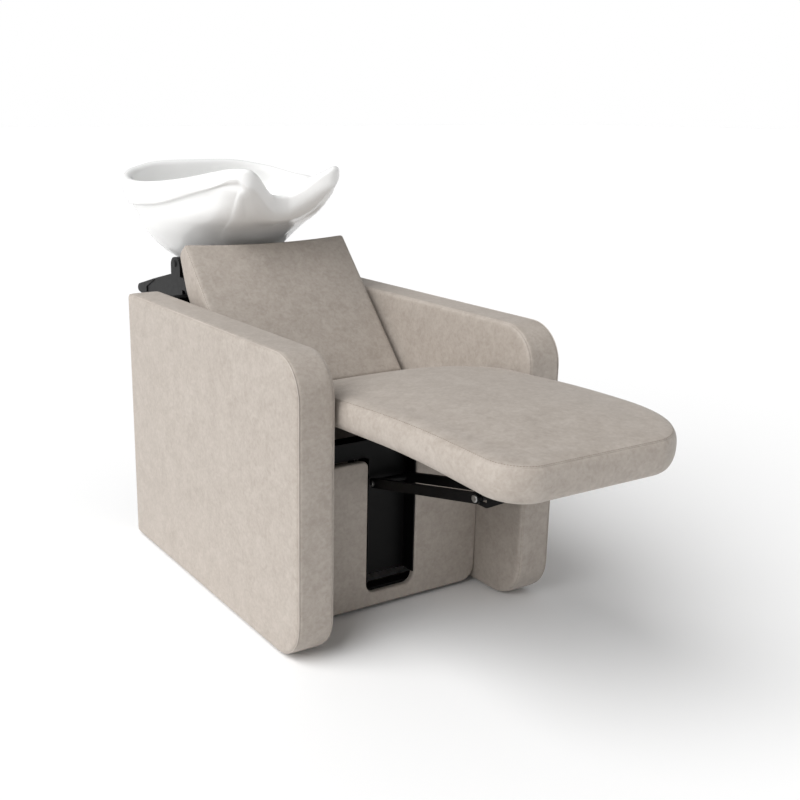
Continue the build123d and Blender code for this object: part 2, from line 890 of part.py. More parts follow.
# Slotted brackets under the leg board, in which the front rod slides
slot_half_height = link_pin_radius + slot_side_play
slot_rear_y = front_pivot_y + slot_end_play
slot_front_y = front_pivot_y - slot_travel - slot_end_play
bracket_rear_y = front_pivot_y + bracket_rear_reach
bracket_front_y = bracket_rear_y - bracket_top_length
bracket_low = link_front_height - slot_half_height - slot_rim
bracket_high = pad_line(board_top)[2][1]
bracket_zone = box_between(
    (bracket_inner - bracket_flange, bracket_front_y, bracket_low),
    (bracket_outer, bracket_rear_y, bracket_high),
)
flange_sheet = pad_layer(bracket_outer, board_low, board_low + bracket_plate)
for side, sign in sides:
    with BuildPart() as link_bracket:
        with BuildSketch(Plane.YZ.offset(bracket_inner)):
            with BuildLine():
                FilletPolyline(
                    (bracket_front_y, bracket_high),
                    (bracket_front_y, bracket_high - bracket_front_rise * 2),
                    (slot_front_y - slot_half_height, bracket_low),
                    (slot_rear_y + slot_half_height + slot_rim, bracket_low),
                    (slot_rear_y + slot_half_height + slot_rim, bracket_low + bracket_front_rise),
                    (bracket_rear_y, bracket_high),
                    radius=bracket_corner,
                )
                Line((bracket_rear_y, bracket_high), (bracket_front_y, bracket_high))
            make_face()
            with Locations(((slot_rear_y + slot_front_y) / 2, link_front_height)):
                SlotCenterToCenter(
                    slot_rear_y - slot_front_y, 2 * slot_half_height, mode=Mode.SUBTRACT
                )
        extrude(amount=bracket_plate)
        add(pad_bulk, mode=Mode.SUBTRACT)
        add(flange_sheet & bracket_zone)
        if sign < 0:
            mirror(about=Plane.YZ, mode=Mode.REPLACE)
    link_bracket.part.label = f"link_bracket_{side}"
    export_step(link_bracket.part, f"parts/link_bracket_{side}.step")

# Lifting actuator, drawn about its foot pin and along its own axis
actuator_foot_y = arm_front + actuator_foot_setback
actuator_head_y = arm_front + actuator_head_setback
foot_pivot = (actuator_foot_y, actuator_foot_height)
head_pivot = (actuator_head_y, actuator_head_height)
actuator_run = actuator_head_y - actuator_foot_y
actuator_rise = actuator_head_height - actuator_foot_height
actuator_length = (actuator_run**2 + actuator_rise**2) ** 0.5
actuator_axis = Plane(
    origin=(0, actuator_foot_y, actuator_foot_height),
    x_dir=(1, 0, 0),
    z_dir=(0, actuator_run, actuator_rise),
)
body_length = actuator_length * actuator_body_share
gearbox_start = actuator_eye_radius + actuator_side_gap
motor_offset = actuator_body_radius + motor_radius - motor_drop / 2
foot_eye_hole = rods(
    [foot_pivot], actuator_pin_radius + hinge_clearance, -overrun, 2 * overrun
)
foot_eye = rods([foot_pivot], actuator_eye_radius, -actuator_eye_width / 2, actuator_eye_width)
with BuildPart() as actuator_body:
    with BuildSketch(actuator_axis.offset(gearbox_start)):
        Circle(actuator_body_radius)
    extrude(amount=body_length - gearbox_start)
    with BuildSketch(actuator_axis):
        Rectangle(actuator_eye_width, 2 * actuator_eye_radius)
    extrude(amount=gearbox_start)
    add(foot_eye)
    with BuildSketch(actuator_axis.offset(gearbox_start)):
        with Locations((0, motor_offset / 2)):
            RectangleRounded(
                2 * motor_radius, motor_offset + 2 * motor_radius, motor_radius - motor_drop
            )
    extrude(amount=gearbox_height)
    with BuildSketch(actuator_axis.offset(gearbox_start + gearbox_height)):
        Circle(actuator_rod_radius + actuator_side_gap)
    extrude(amount=body_length, mode=Mode.SUBTRACT)
    add(foot_eye_hole, mode=Mode.SUBTRACT)
actuator_body.part.label = "actuator_body"
export_step(actuator_body.part, "parts/actuator_body.step")

with BuildPart() as actuator_motor:
    with BuildSketch(actuator_axis.offset(gearbox_start + gearbox_height)):
        with Locations((0, motor_offset)):
            Circle(motor_radius)
    extrude(amount=motor_length)
    add(actuator_body.part, mode=Mode.SUBTRACT)
    chamfer(actuator_motor.edges().group_by(Axis.Z)[-1], length=motor_drop / 2)
actuator_motor.part.label = "actuator_motor"
export_step(actuator_motor.part, "parts/actuator_motor.step")

rod_start = body_length - actuator_rod_engagement
head_eye = rods([head_pivot], actuator_eye_radius, -actuator_eye_width / 2, actuator_eye_width)
head_eye_hole = rods(
    [head_pivot], actuator_pin_radius + actuator_eye_play, -overrun, 2 * overrun
)
with BuildPart() as actuator_rod:
    with BuildSketch(actuator_axis.offset(rod_start)):
        Circle(actuator_rod_radius)
    extrude(amount=actuator_length - actuator_eye_radius - rod_start)
    with BuildSketch(actuator_axis.offset(actuator_length - actuator_eye_radius)):
        Circle(actuator_rod_radius)
    extrude(amount=actuator_eye_radius)
    add(head_eye)
    add(head_eye_hole, mode=Mode.SUBTRACT)
actuator_rod.part.label = "actuator_rod"
export_step(actuator_rod.part, "parts/actuator_rod.step")

# Clevises that carry the actuator, on the floor tube and under the seat board
clevis_start = actuator_eye_width / 2 + actuator_side_gap
clevis_end = clevis_start + actuator_cheek
foot_clevis_top = lower_top + actuator_cheek
foot_cheek_outline = (
    (actuator_foot_y - tube / 2, lower_top),
    (actuator_foot_y - actuator_eye_radius, actuator_foot_height),
    (actuator_foot_y + actuator_eye_radius, actuator_foot_height),
    (actuator_foot_y + tube / 2, lower_top),
)
with BuildPart() as actuator_foot_clevis:
    add(plate(foot_cheek_outline, clevis_start, actuator_cheek))
    add(rods([foot_pivot], actuator_eye_radius, clevis_start, actuator_cheek))
    mirror(about=Plane.YZ)
    add(
        box_between(
            (-actuator_base_width / 2, actuator_foot_y - tube / 2, lower_top),
            (actuator_base_width / 2, actuator_foot_y + tube / 2, foot_clevis_top),
        )
    )
    add(rods([foot_pivot], actuator_pin_radius, -overrun, 2 * overrun), mode=Mode.SUBTRACT)
actuator_foot_clevis.part.label = "actuator_foot_clevis"
export_step(actuator_foot_clevis.part, "parts/actuator_foot_clevis.step")

clevis_front = actuator_head_setback - actuator_clevis_length / 2
clevis_rear = actuator_head_setback + actuator_clevis_length / 2
head_cheek_outline = (
    (arm_front + clevis_front, seat_under(clevis_front, board_top)),
    (actuator_head_y - actuator_eye_radius, actuator_head_height),
    (actuator_head_y + actuator_eye_radius, actuator_head_height),
    (arm_front + clevis_rear, seat_under(clevis_rear, board_top)),
)
clevis_sheet = pad_layer(actuator_base_width / 2, board_low, board_low + actuator_cheek)
clevis_zone = box_between(
    (-actuator_base_width / 2, arm_front + clevis_front, 0),
    (actuator_base_width / 2, arm_front + clevis_rear, arm_top + arm_height),
)
with BuildPart() as actuator_head_clevis:
    add(plate(head_cheek_outline, clevis_start, actuator_cheek))
    add(rods([head_pivot], actuator_eye_radius, clevis_start, actuator_cheek))
    add(pad_bulk, mode=Mode.SUBTRACT)
    mirror(about=Plane.YZ)
    add(clevis_sheet & clevis_zone)
    add(rods([head_pivot], actuator_pin_radius, -overrun, 2 * overrun), mode=Mode.SUBTRACT)
actuator_head_clevis.part.label = "actuator_head_clevis"
export_step(actuator_head_clevis.part, "parts/actuator_head_clevis.step")

for end, pivot in (("foot", foot_pivot), ("head", head_pivot)):
    with BuildPart() as actuator_pin:
        add(rods([pivot], actuator_pin_radius, -clevis_end, 2 * clevis_end))
        add(rods([pivot], pin_head_radius, clevis_end, pin_head))
        mirror(about=Plane.YZ)
    actuator_pin.part.label = f"actuator_{end}_pin"
    export_step(actuator_pin.part, f"parts/actuator_{end}_pin.step")

# Backrest, drawn on a plane that lies in its front face: X and up the face
back_front_y = arm_front + seat_rear_setback + back_gap
back_top_y = arm_front + back_top_setback
back_length = (back_top_y - back_front_y) / cos(radians(back_slope))
back_face = Plane(
    origin=(0, back_front_y, back_front_height),
    x_dir=(1, 0, 0),
    z_dir=(0, -sin(radians(back_slope)), cos(radians(back_slope))),
)
back_taper = radians(back_rear_slope - back_slope)
back_shoulder = back_length - (back_thickness - back_top_thickness) / tan(back_taper)


def on_back(along, depth):
    """(y, z) of a point up the back's front face, depth behind it."""
    lean = radians(back_slope)
    return (
        back_front_y + along * cos(lean) + depth * sin(lean),
        back_front_height + along * sin(lean) - depth * cos(lean),
    )


with BuildPart() as backrest_board:
    with BuildSketch(back_face.offset(-back_thickness)):
        with Locations((0, (back_board_inset + back_shoulder) / 2)):
            Rectangle(back_width - 2 * back_board_inset, back_shoulder - back_board_inset)
    extrude(amount=board_thickness)
backrest_board.part.label = "backrest_board"
export_step(backrest_board.part, "parts/backrest_board.step")

back_half = back_width / 2 - back_side_crown
with BuildPart() as backrest_cushion:
    with BuildSketch(Plane(back_face.origin, x_dir=(1, 0, 0), z_dir=back_face.y_dir)):
        with BuildLine():
            ThreePointArc((back_half, 0), (0, -back_crown), (-back_half, 0))
            ThreePointArc(
                (-back_half, 0),
                (-back_width / 2, back_thickness / 2),
                (-back_half, back_thickness),
            )
            Line((-back_half, back_thickness), (back_half, back_thickness))
            ThreePointArc(
                (back_half, back_thickness),
                (back_width / 2, back_thickness / 2),
                (back_half, 0),
            )
        make_face()
    extrude(amount=back_length)
    with BuildSketch(Plane.YZ.offset(-back_width / 2)):
        with BuildLine():
            FilletPolyline(
                on_back(0, back_thickness),
                on_back(0, -back_crown),
                on_back(back_length, -back_crown),
                on_back(back_length, back_top_thickness),
                on_back(back_shoulder, back_thickness),
                radius=(back_corner_round, back_corner_round, back_corner_round),
            )
            Line(on_back(back_shoulder, back_thickness), on_back(0, back_thickness))
        make_face()
    extrude(amount=back_width, mode=Mode.INTERSECT)
    with BuildSketch(back_face.offset(back_crown)):
        with BuildLine():
            Line((-back_width / 2, back_length), (-back_width / 2, 0))
            Line((-back_width / 2, 0), (back_width / 2, 0))
            Line((back_width / 2, 0), (back_width / 2, back_length))
            ThreePointArc(
                (back_width / 2, back_length),
                (0, back_length - neck_dip),
                (-back_width / 2, back_length),
            )
        make_face()
    extrude(amount=-back_thickness - back_crown, mode=Mode.INTERSECT)
    add(backrest_board.part, mode=Mode.SUBTRACT)
backrest_cushion.part.label = "backrest_cushion"
export_step(backrest_cushion.part, "parts/backrest_cushion.step")

# Steel stays from the frame to the backrest board, with a flange at each end
stay_high = rear_post_top - stay_drop
stay_low = stay_high - stay_height
lean = radians(back_slope)
stay_tip = (stay_high - on_back(0, back_thickness)[1]) / sin(lean)
stay_outline = (
    on_back(stay_tip, back_thickness),
    on_back(stay_tip - stay_height / sin(lean), back_thickness),
    (rear_post_y, stay_low),
    (rear_post_y, stay_high),
)
gusset_tip = back_board_inset + stay_flange_length
gusset_outline = (
    on_back(back_board_inset, back_thickness),
    on_back(gusset_tip, back_thickness),
    (tube_face + tube, upper_rail_top - gusset_rise),
    (tube_face + tube, upper_rail_top),
)
with BuildPart(mode=Mode.PRIVATE) as stay_set:
    add(plate(stay_outline, -stay_plate / 2, stay_plate))
    add(plate(gusset_outline, -stay_plate / 2, stay_plate))
    with BuildSketch(back_face.offset(-back_thickness)):
        for tip in (stay_tip, gusset_tip):
            with Locations((0, tip - stay_flange_length / 2)):
                Rectangle(stay_flange_width, stay_flange_length)
    extrude(amount=-stay_flange_sheet)
with BuildPart() as backrest_stays:
    for _, sign in sides:
        add(stay_set.part.moved(Location((sign * stay_half_spacing, 0, 0))))
backrest_stays.part.label = "backrest_stays"
export_step(backrest_stays.part, "parts/backrest_stays.step")

# Panel across the back, with a hole for the water pipes
pipe_place = (0, pipe_hole_height)
back_panel_front = rear_post_y + tube
with BuildPart() as back_panel:
    with BuildSketch(Plane.XZ.offset(-back_panel_front)):
        with Locations((0, (back_panel_top + back_panel_bottom) / 2)):
            Rectangle(2 * (inner_half - panel_side_gap), back_panel_top - back_panel_bottom)
        with Locations(pipe_place):
            Circle(pipe_hole_radius, mode=Mode.SUBTRACT)
    extrude(amount=-back_panel_thickness)
back_panel.part.label = "back_panel"
export_step(back_panel.part, "parts/back_panel.step")

# Steel plates that carry the basin's tilt pins from the rear cross tube
tilt_place = (tilt_y, tilt_axis_height)
post_y = arm_front + post_setback
plate_start = console_width / 2 - post_width / 2 - support_plate / 2
plate_outline = (
    (rear_post_y, rear_post_top),
    (rear_post_y + tube, rear_post_top),
    (tilt_y + cradle_lug_radius, tilt_axis_height - post_width),
    (tilt_y + cradle_lug_radius, tilt_axis_height + tilt_pin_radius),
    (tilt_y - cradle_lug_radius, tilt_axis_height + tilt_pin_radius),
    (rear_post_y, rear_post_top + post_width),
)
tilt_bore = rods([tilt_place], tilt_pin_radius, -console_width, 2 * console_width)
with BuildPart() as support_plates:
    add(plate(plate_outline, plate_start, support_plate))
    add(rods([tilt_place], cradle_lug_radius, plate_start, support_plate))
    add(tilt_bore, mode=Mode.SUBTRACT)
    mirror(about=Plane.YZ)
support_plates.part.label = "support_plates"
export_step(support_plates.part, "parts/support_plates.step")

# Moulded console behind the arms: a shell, open below, with side scoops
console_half = console_width / 2
low_front_y = arm_back + console_back_gap


def console_outline(inset, underside):
    """Side view of the console, shrunk by inset, with its underside lowered."""
    front = arm_front + console_front_setback + inset
    nose = arm_front + console_nose_setback - inset
    return (
        (low_front_y + inset, console_under_height - underside),
        (low_front_y + inset, console_front_base + inset),
        (front, console_front_base + inset),
        (front, console_top_height - inset),
        (arm_front + console_top_setback, console_top_height - inset),
        (arm_front + console_shoulder_setback, console_shoulder_height - inset),
        (nose - console_nose_rake, console_nose_height - inset),
        (nose, console_nose_base - underside),
    )


scoop_outline = (
    (low_front_y, console_under_height - overrun),
    (low_front_y, scoop_front_height),
    (arm_front + scoop_bend_setback, scoop_bend_height),
    (arm_front + scoop_rear_setback, scoop_rear_height),
    (arm_front + scoop_rear_setback, console_under_height - overrun),
)

waste_place = (0, waste_y)
with BuildPart() as basin_console:
    with BuildSketch(Plane.YZ.offset(-console_half)):
        with BuildLine():
            Polyline(*console_outline(0, 0), close=True)
        make_face()
    extrude(amount=console_width)
    fillet(basin_console.edges().filter_by(Axis.X).group_by(Axis.Y)[-2:], radius=console_round)
    with BuildSketch(Plane.YZ.offset(console_wall - console_half)):
        with BuildLine():
            Polyline(*console_outline(console_wall, overrun), close=True)
        make_face()
    extrude(amount=console_width - 2 * console_wall, mode=Mode.SUBTRACT)
    for _, sign in sides:
        with BuildSketch(Plane.YZ.offset(sign * console_half)):
            with BuildLine():
                Polyline(*scoop_outline, close=True)
            make_face()
        extrude(amount=-sign * scoop_depth, mode=Mode.SUBTRACT)
    with BuildSketch(Plane.XY.offset(console_front_base)):
        with Locations(waste_place):
            Circle(console_waste_radius)
    extrude(amount=console_top_height - console_front_base, mode=Mode.SUBTRACT)
    add(support_plates.part, mode=Mode.SUBTRACT)
basin_console.part.label = "basin_console"
export_step(basin_console.part, "parts/basin_console.step")

# Posts that flank the basin, over the steel plates
for side, sign in sides:
    with BuildPart() as basin_post:
        with BuildSketch(Plane.YZ.offset(console_half - post_width)):
            with BuildLine():
                FilletPolyline(
                    (post_y, console_top_height),
                    (post_y, post_top),
                    (post_y + post_length, post_top),
                    (post_y + post_length, console_top_height),
                    radius=post_round,
                )
                Line((post_y + post_length, console_top_height), (post_y, console_top_height))
            make_face()
        extrude(amount=post_width)
        add(tilt_bore, mode=Mode.SUBTRACT)
        if sign < 0:
            mirror(about=Plane.YZ, mode=Mode.REPLACE)
        add(support_plates.part, mode=Mode.SUBTRACT)
    basin_post.part.label = f"basin_post_{side}"
    export_step(basin_post.part, f"parts/basin_post_{side}.step")

# Cradle under the basin, with lugs that turn on the tilt pins
cradle_top = basin_bottom - cradle_gap
cradle_base = cradle_top - cradle_plate
lug_end = console_half - post_width - lug_clearance
lug_start = lug_end - cradle_lug_thickness
lug_foot = cradle_lug_radius * 1.5
lug_outline_points = (
    (tilt_y - lug_foot, cradle_base),
    (tilt_y - cradle_lug_radius, tilt_axis_height),
    (tilt_y + cradle_lug_radius, tilt_axis_height),
    (tilt_y + lug_foot, cradle_base),
)
with BuildPart() as tilt_cradle:
    with BuildSketch(Plane.XY.offset(cradle_base)):
        with Locations(waste_place):
            Rectangle(2 * cradle_half_width, cradle_length)
            Circle(cradle_waste_radius, mode=Mode.SUBTRACT)
        with Locations((0, tilt_y)):
            Rectangle(2 * lug_end, 2 * lug_foot)
    extrude(amount=cradle_plate)
    add(plate(lug_outline_points, lug_start, cradle_lug_thickness))
    add(rods([tilt_place], cradle_lug_radius, lug_start, cradle_lug_thickness))
    add(plate(lug_outline_points, -lug_end, cradle_lug_thickness))
    add(rods([tilt_place], cradle_lug_radius, -lug_end, cradle_lug_thickness))
    add(
        rods([tilt_place], tilt_pin_radius + hinge_clearance, -console_half, console_width),
        mode=Mode.SUBTRACT,
    )
    with BuildSketch(Plane.XY.offset(cradle_base)):
        with Locations(waste_place):
            Circle(cradle_waste_radius)
    extrude(amount=cradle_plate, mode=Mode.SUBTRACT)
tilt_cradle.part.label = "tilt_cradle"
export_step(tilt_cradle.part, "parts/tilt_cradle.step")

# Tilt pins through plates and lugs; the left one also carries the lock lever
plate_end = plate_start + support_plate
lever_start = console_half + lever_gap
with BuildPart() as tilt_pins:
    add(rods([tilt_place], tilt_pin_radius, -plate_end, plate_end - lug_start))
    add(rods([tilt_place], tilt_pin_radius, lug_start, lever_start + lever_hub_width - lug_start))
tilt_pins.part.label = "tilt_pins"
export_step(tilt_pins.part, "parts/tilt_pins.step")

# Lever that locks the basin's tilt, outside the left post
with BuildPart() as lock_lever:
    with BuildSketch(Plane.YZ.offset(lever_start)):
        with Locations(tilt_place):
            Circle(lever_hub_radius)
    extrude(amount=lever_hub_width)
    with BuildSketch(Plane.YZ.offset(lever_start + lever_hub_width - lever_thickness)):
        with Locations(tilt_place):
            with PolarLocations(lever_length / 2, 1, start_angle=lever_rise):
                SlotCenterToCenter(lever_length, lever_hub_radius)
    extrude(amount=lever_thickness)
    add(
        rods([tilt_place], tilt_pin_radius + hinge_clearance, console_half, console_width),
        mode=Mode.SUBTRACT,
    )
    chamfer(lock_lever.faces().sort_by(Axis.X)[-1].outer_wire().edges(), length=lever_edge)
lock_lever.part.label = "lock_lever"
export_step(lock_lever.part, "parts/lock_lever.step")


def crest_line(shares, low, high):
    """Side-view curve over the basin's length between two heights."""
    return [(along_basin(place), low + (high - low) * share) for place, share in shares]


# Ceramic basin: a lofted bowl with a rolled rim, two horns and a neck notch
with BuildPart(mode=Mode.PRIVATE) as above_crest:
    with BuildSketch(Plane.YZ.offset(-basin_width)):
        with BuildLine():
            crest = Spline(*crest_line(crest_shares, crest_low_height, horn_height))
            Polyline(
                crest @ 1,
                ((crest @ 1).X, horn_height * 2),
                ((crest @ 0).X, horn_height * 2),
                crest @ 0,
            )
        make_face()
    extrude(amount=2 * basin_width)
with BuildPart(mode=Mode.PRIVATE) as below_band:
    with BuildSketch(Plane.YZ.offset(-basin_width)):
        with BuildLine():
            band = Spline(*crest_line(band_shares, band_low_height, band_high_height))
            Polyline(
                band @ 1,
                ((band @ 1).X, 0),
                ((band @ 0).X, 0),
                band @ 0,
            )
        make_face()
    extrude(amount=2 * basin_width)

neck_sections = (
    (basin_front - overrun, neck_front_width, neck_front_floor),
    (basin_front + neck_depth_share * basin_length, neck_back_width, neck_back_floor),
)
neck_top = horn_height + overrun
with BuildPart(mode=Mode.PRIVATE) as neck_notch:
    for section_y, top_width, floor_width in neck_sections:
        with BuildSketch(Plane.XZ.offset(-section_y)):
            with BuildLine():
                FilletPolyline(
                    (-top_width / 2, neck_top),
                    (-floor_width / 2, neck_height),
                    (floor_width / 2, neck_height),
                    (top_width / 2, neck_top),
                    radius=neck_round,
                )
                Line((top_width / 2, neck_top), (-top_width / 2, neck_top))
            make_face()
    loft()

with BuildPart() as basin:
    add(bowl_form(0, 0))
    add(below_band.part, mode=Mode.SUBTRACT)
    add(bowl_form(basin_rim_step, 0))
    add(bowl_form(basin_wall, basin_floor), mode=Mode.SUBTRACT)
    add(above_crest.part, mode=Mode.SUBTRACT)
    add(neck_notch.part, mode=Mode.SUBTRACT)
    with BuildSketch(Plane.XY.offset(basin_bottom)):
        with Locations(waste_place):
            Circle(waste_hole_radius)
    extrude(amount=2 * basin_floor, mode=Mode.SUBTRACT)
basin.part.label = "basin"
export_step(basin.part, "parts/basin.step")

# Waste fitting in the bottom of the basin
basin_floor_top = basin_bottom + basin_floor
waste_plane = Plane.XY.offset(basin_floor_top)
with BuildPart() as waste_flange:
    with BuildSketch(waste_plane):
        with Locations(waste_place):
            Circle(waste_flange_radius)
            Circle(waste_tube_radius - waste_tube_wall, mode=Mode.SUBTRACT)
    extrude(amount=waste_flange_thickness)
    with BuildSketch(waste_plane):
        with Locations(waste_place):
            Circle(waste_tube_radius)
            Circle(waste_tube_radius - waste_tube_wall, mode=Mode.SUBTRACT)
    extrude(amount=-waste_tube_length)
waste_flange.part.label = "waste_flange"
export_step(waste_flange.part, "parts/waste_flange.step")

strainer_radius = waste_tube_radius - waste_tube_wall
with BuildPart() as waste_strainer:
    with BuildSketch(waste_plane):
        with Locations(waste_place):
            Circle(strainer_radius)
            Circle(strainer_hole_radius, mode=Mode.SUBTRACT)
            with PolarLocations(strainer_hole_circle, strainer_hole_count):
                Circle(strainer_hole_radius, mode=Mode.SUBTRACT)
    extrude(amount=waste_flange_thickness)
waste_strainer.part.label = "waste_strainer"
export_step(waste_strainer.part, "parts/waste_strainer.step")

with BuildPart() as waste_gasket:
    with BuildSketch(Plane.XY.offset(basin_bottom)):
        with Locations(waste_place):
            Circle(waste_gasket_radius)
            Circle(waste_tube_radius, mode=Mode.SUBTRACT)
    extrude(amount=-waste_gasket_thickness)
waste_gasket.part.label = "waste_gasket"
export_step(waste_gasket.part, "parts/waste_gasket.step")

nut_top = basin_bottom - waste_gasket_thickness
with BuildPart() as waste_nut:
    with BuildSketch(Plane.XY.offset(nut_top)):
        with Locations(waste_place):
            RegularPolygon(waste_nut_radius, 8)
            Circle(waste_tube_radius, mode=Mode.SUBTRACT)
    extrude(amount=-waste_nut_height)
waste_nut.part.label = "waste_nut"
export_step(waste_nut.part, "parts/waste_nut.step")

tail_top = basin_floor_top - waste_tube_length
outlet_bore = waste_outlet_radius - waste_tube_wall
with BuildPart() as waste_tailpiece:
    with BuildSketch(Plane.YZ):
        with BuildLine():
            Polyline(
                (waste_y + waste_tube_radius, tail_top),
                (waste_y + waste_outlet_radius, tail_top - waste_cone_length),
                (waste_y + waste_outlet_radius, tail_top - waste_cone_length - waste_outlet_length),
                (waste_y + outlet_bore, tail_top - waste_cone_length - waste_outlet_length),
                (waste_y + outlet_bore, tail_top - waste_cone_length),
                (waste_y + waste_tube_radius - waste_tube_wall, tail_top),
                close=True,
            )
        make_face()
    revolve(axis=Axis((0, waste_y, 0), (0, 0, 1)))
waste_tailpiece.part.label = "waste_tailpiece"
export_step(waste_tailpiece.part, "parts/waste_tailpiece.step")
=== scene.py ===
"""Salon hair washing bed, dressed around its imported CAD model.

Lengths are in millimetres until a mesh is made, and then in metres.
X runs across the bed, Y from the foot end to the basin, Z up from the floor.
"""

import json
from math import atan2, cos, pi, radians, sin, tan

import bmesh
import bpy
import numpy as np
from mathutils import Matrix, Vector


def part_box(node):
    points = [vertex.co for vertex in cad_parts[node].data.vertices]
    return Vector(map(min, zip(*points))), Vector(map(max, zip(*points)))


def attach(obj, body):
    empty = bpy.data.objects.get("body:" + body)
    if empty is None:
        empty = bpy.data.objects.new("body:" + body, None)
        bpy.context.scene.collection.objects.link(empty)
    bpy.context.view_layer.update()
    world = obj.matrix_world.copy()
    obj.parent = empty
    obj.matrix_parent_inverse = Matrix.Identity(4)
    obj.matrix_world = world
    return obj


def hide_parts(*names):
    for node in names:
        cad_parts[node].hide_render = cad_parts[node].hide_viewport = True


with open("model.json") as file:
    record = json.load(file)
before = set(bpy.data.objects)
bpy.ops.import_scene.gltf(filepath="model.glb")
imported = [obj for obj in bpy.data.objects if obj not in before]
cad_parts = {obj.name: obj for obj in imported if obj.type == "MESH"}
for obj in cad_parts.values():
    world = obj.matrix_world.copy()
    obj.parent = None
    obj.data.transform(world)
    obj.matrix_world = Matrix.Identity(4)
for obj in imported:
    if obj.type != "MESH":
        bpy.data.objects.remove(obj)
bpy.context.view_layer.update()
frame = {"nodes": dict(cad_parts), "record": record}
nodes = frame["nodes"]
scene = bpy.context.scene
MM = 0.001
TINY = 1e-9


def corners(node):
    """Lowest and highest corner of a CAD node, in millimetres."""
    low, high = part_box(node)
    return low / MM, high / MM


# Colours, as the eye sees them
TAUPE = (0.648, 0.612, 0.577)
TAUPE_LIGHT = (0.682, 0.648, 0.614)
TAUPE_DARK = (0.612, 0.575, 0.539)
THREAD = (0.50, 0.455, 0.405)
# Lighter than the leatherette: a painted highlight along the sewn ridges
RIDGE_HIGHLIGHT = (0.735, 0.700, 0.665)
GLAZE = (0.955, 0.955, 0.951)
BLACK_MOULDING = (0.054, 0.054, 0.057)
BLACK_STEEL = (0.050, 0.050, 0.052)
ZINC = (0.74, 0.74, 0.73)
CHROME = (0.86, 0.86, 0.87)
BIRCH = (0.74, 0.62, 0.47)
RUBBER = (0.10, 0.10, 0.10)
GREY_PLASTIC = (0.42, 0.42, 0.43)
GAMMA = 2.2


def linear(colour):
    """Turns a display colour into the linear one that the shader takes."""
    return tuple(value**GAMMA for value in colour) + (1.0,)


def shaded(colour, share):
    """A display colour darkened to that share, as the shader takes it."""
    return linear([value * share for value in colour])


class Shader:
    """A material with its nodes, and short ways to add more of them."""

    def __init__(self, name, roughness, metallic=0.0, specular=0.5):
        self.material = bpy.data.materials.new(name)
        self.material.use_nodes = True
        self.tree = self.material.node_tree
        self.surface = self.tree.nodes["Principled BSDF"]
        self.surface.inputs["Roughness"].default_value = roughness
        self.surface.inputs["Metallic"].default_value = metallic
        self.surface.inputs["Specular IOR Level"].default_value = specular
        self.place = self.tree.nodes.new("ShaderNodeTexCoord").outputs["Object"]

    def link(self, source, target):
        self.tree.links.new(source, target)

    def noise(self, scale, detail=3.0, roughness=0.55, distortion=0.0, stretch=None):
        node = self.tree.nodes.new("ShaderNodeTexNoise")
        node.inputs["Scale"].default_value = scale
        node.inputs["Detail"].default_value = detail
        node.inputs["Roughness"].default_value = roughness
        node.inputs["Distortion"].default_value = distortion
        place = self.place
        if stretch:
            mapping = self.tree.nodes.new("ShaderNodeMapping")
            mapping.inputs["Scale"].default_value = stretch
            self.link(place, mapping.inputs["Vector"])
            place = mapping.outputs["Vector"]
        self.link(place, node.inputs["Vector"])
        return node.outputs["Fac"]

    def cells(self, scale):
        node = self.tree.nodes.new("ShaderNodeTexVoronoi")
        node.inputs["Scale"].default_value = scale
        self.link(self.place, node.inputs["Vector"])
        return node.outputs["Distance"]

    def ramp(self, source, *stops):
        """Colours a texture by stops of (value, linear colour)."""
        node = self.tree.nodes.new("ShaderNodeValToRGB")
        elements = node.color_ramp.elements
        while len(elements) < len(stops):
            elements.new(0.5)
        for element, (position, colour) in zip(elements, stops):
            element.position = position
            element.color = colour
        self.link(source, node.inputs["Fac"])
        return node.outputs["Color"]

    def level(self, source, low, high, within=(0.0, 1.0)):
        """Maps a texture's range, within, onto low to high."""
        node = self.tree.nodes.new("ShaderNodeMapRange")
        node.inputs["From Min"].default_value = within[0]
        node.inputs["From Max"].default_value = within[1]
        node.inputs["To Min"].default_value = low
        node.inputs["To Max"].default_value = high
        self.link(source, node.inputs["Value"])
        return node.outputs["Result"]

    def add(self, first, second, weight):
        """The first texture, plus the second one times a weight."""
        node = self.tree.nodes.new("ShaderNodeMath")
        node.operation = "MULTIPLY_ADD"
        self.link(second, node.inputs[0])
        node.inputs[1].default_value = weight
        self.link(first, node.inputs[2])
        return node.outputs[0]

    def bump(self, height, depth, strength=1.0):
        """Relief of that depth in millimetres."""
        node = self.tree.nodes.new("ShaderNodeBump")
        node.inputs["Strength"].default_value = strength
        node.inputs["Distance"].default_value = depth * MM
        self.link(height, node.inputs["Height"])
        self.link(node.outputs["Normal"], self.surface.inputs["Normal"])

    def colour(self, source):
        self.link(source, self.surface.inputs["Base Color"])

    def rough(self, source):
        self.link(source, self.surface.inputs["Roughness"])


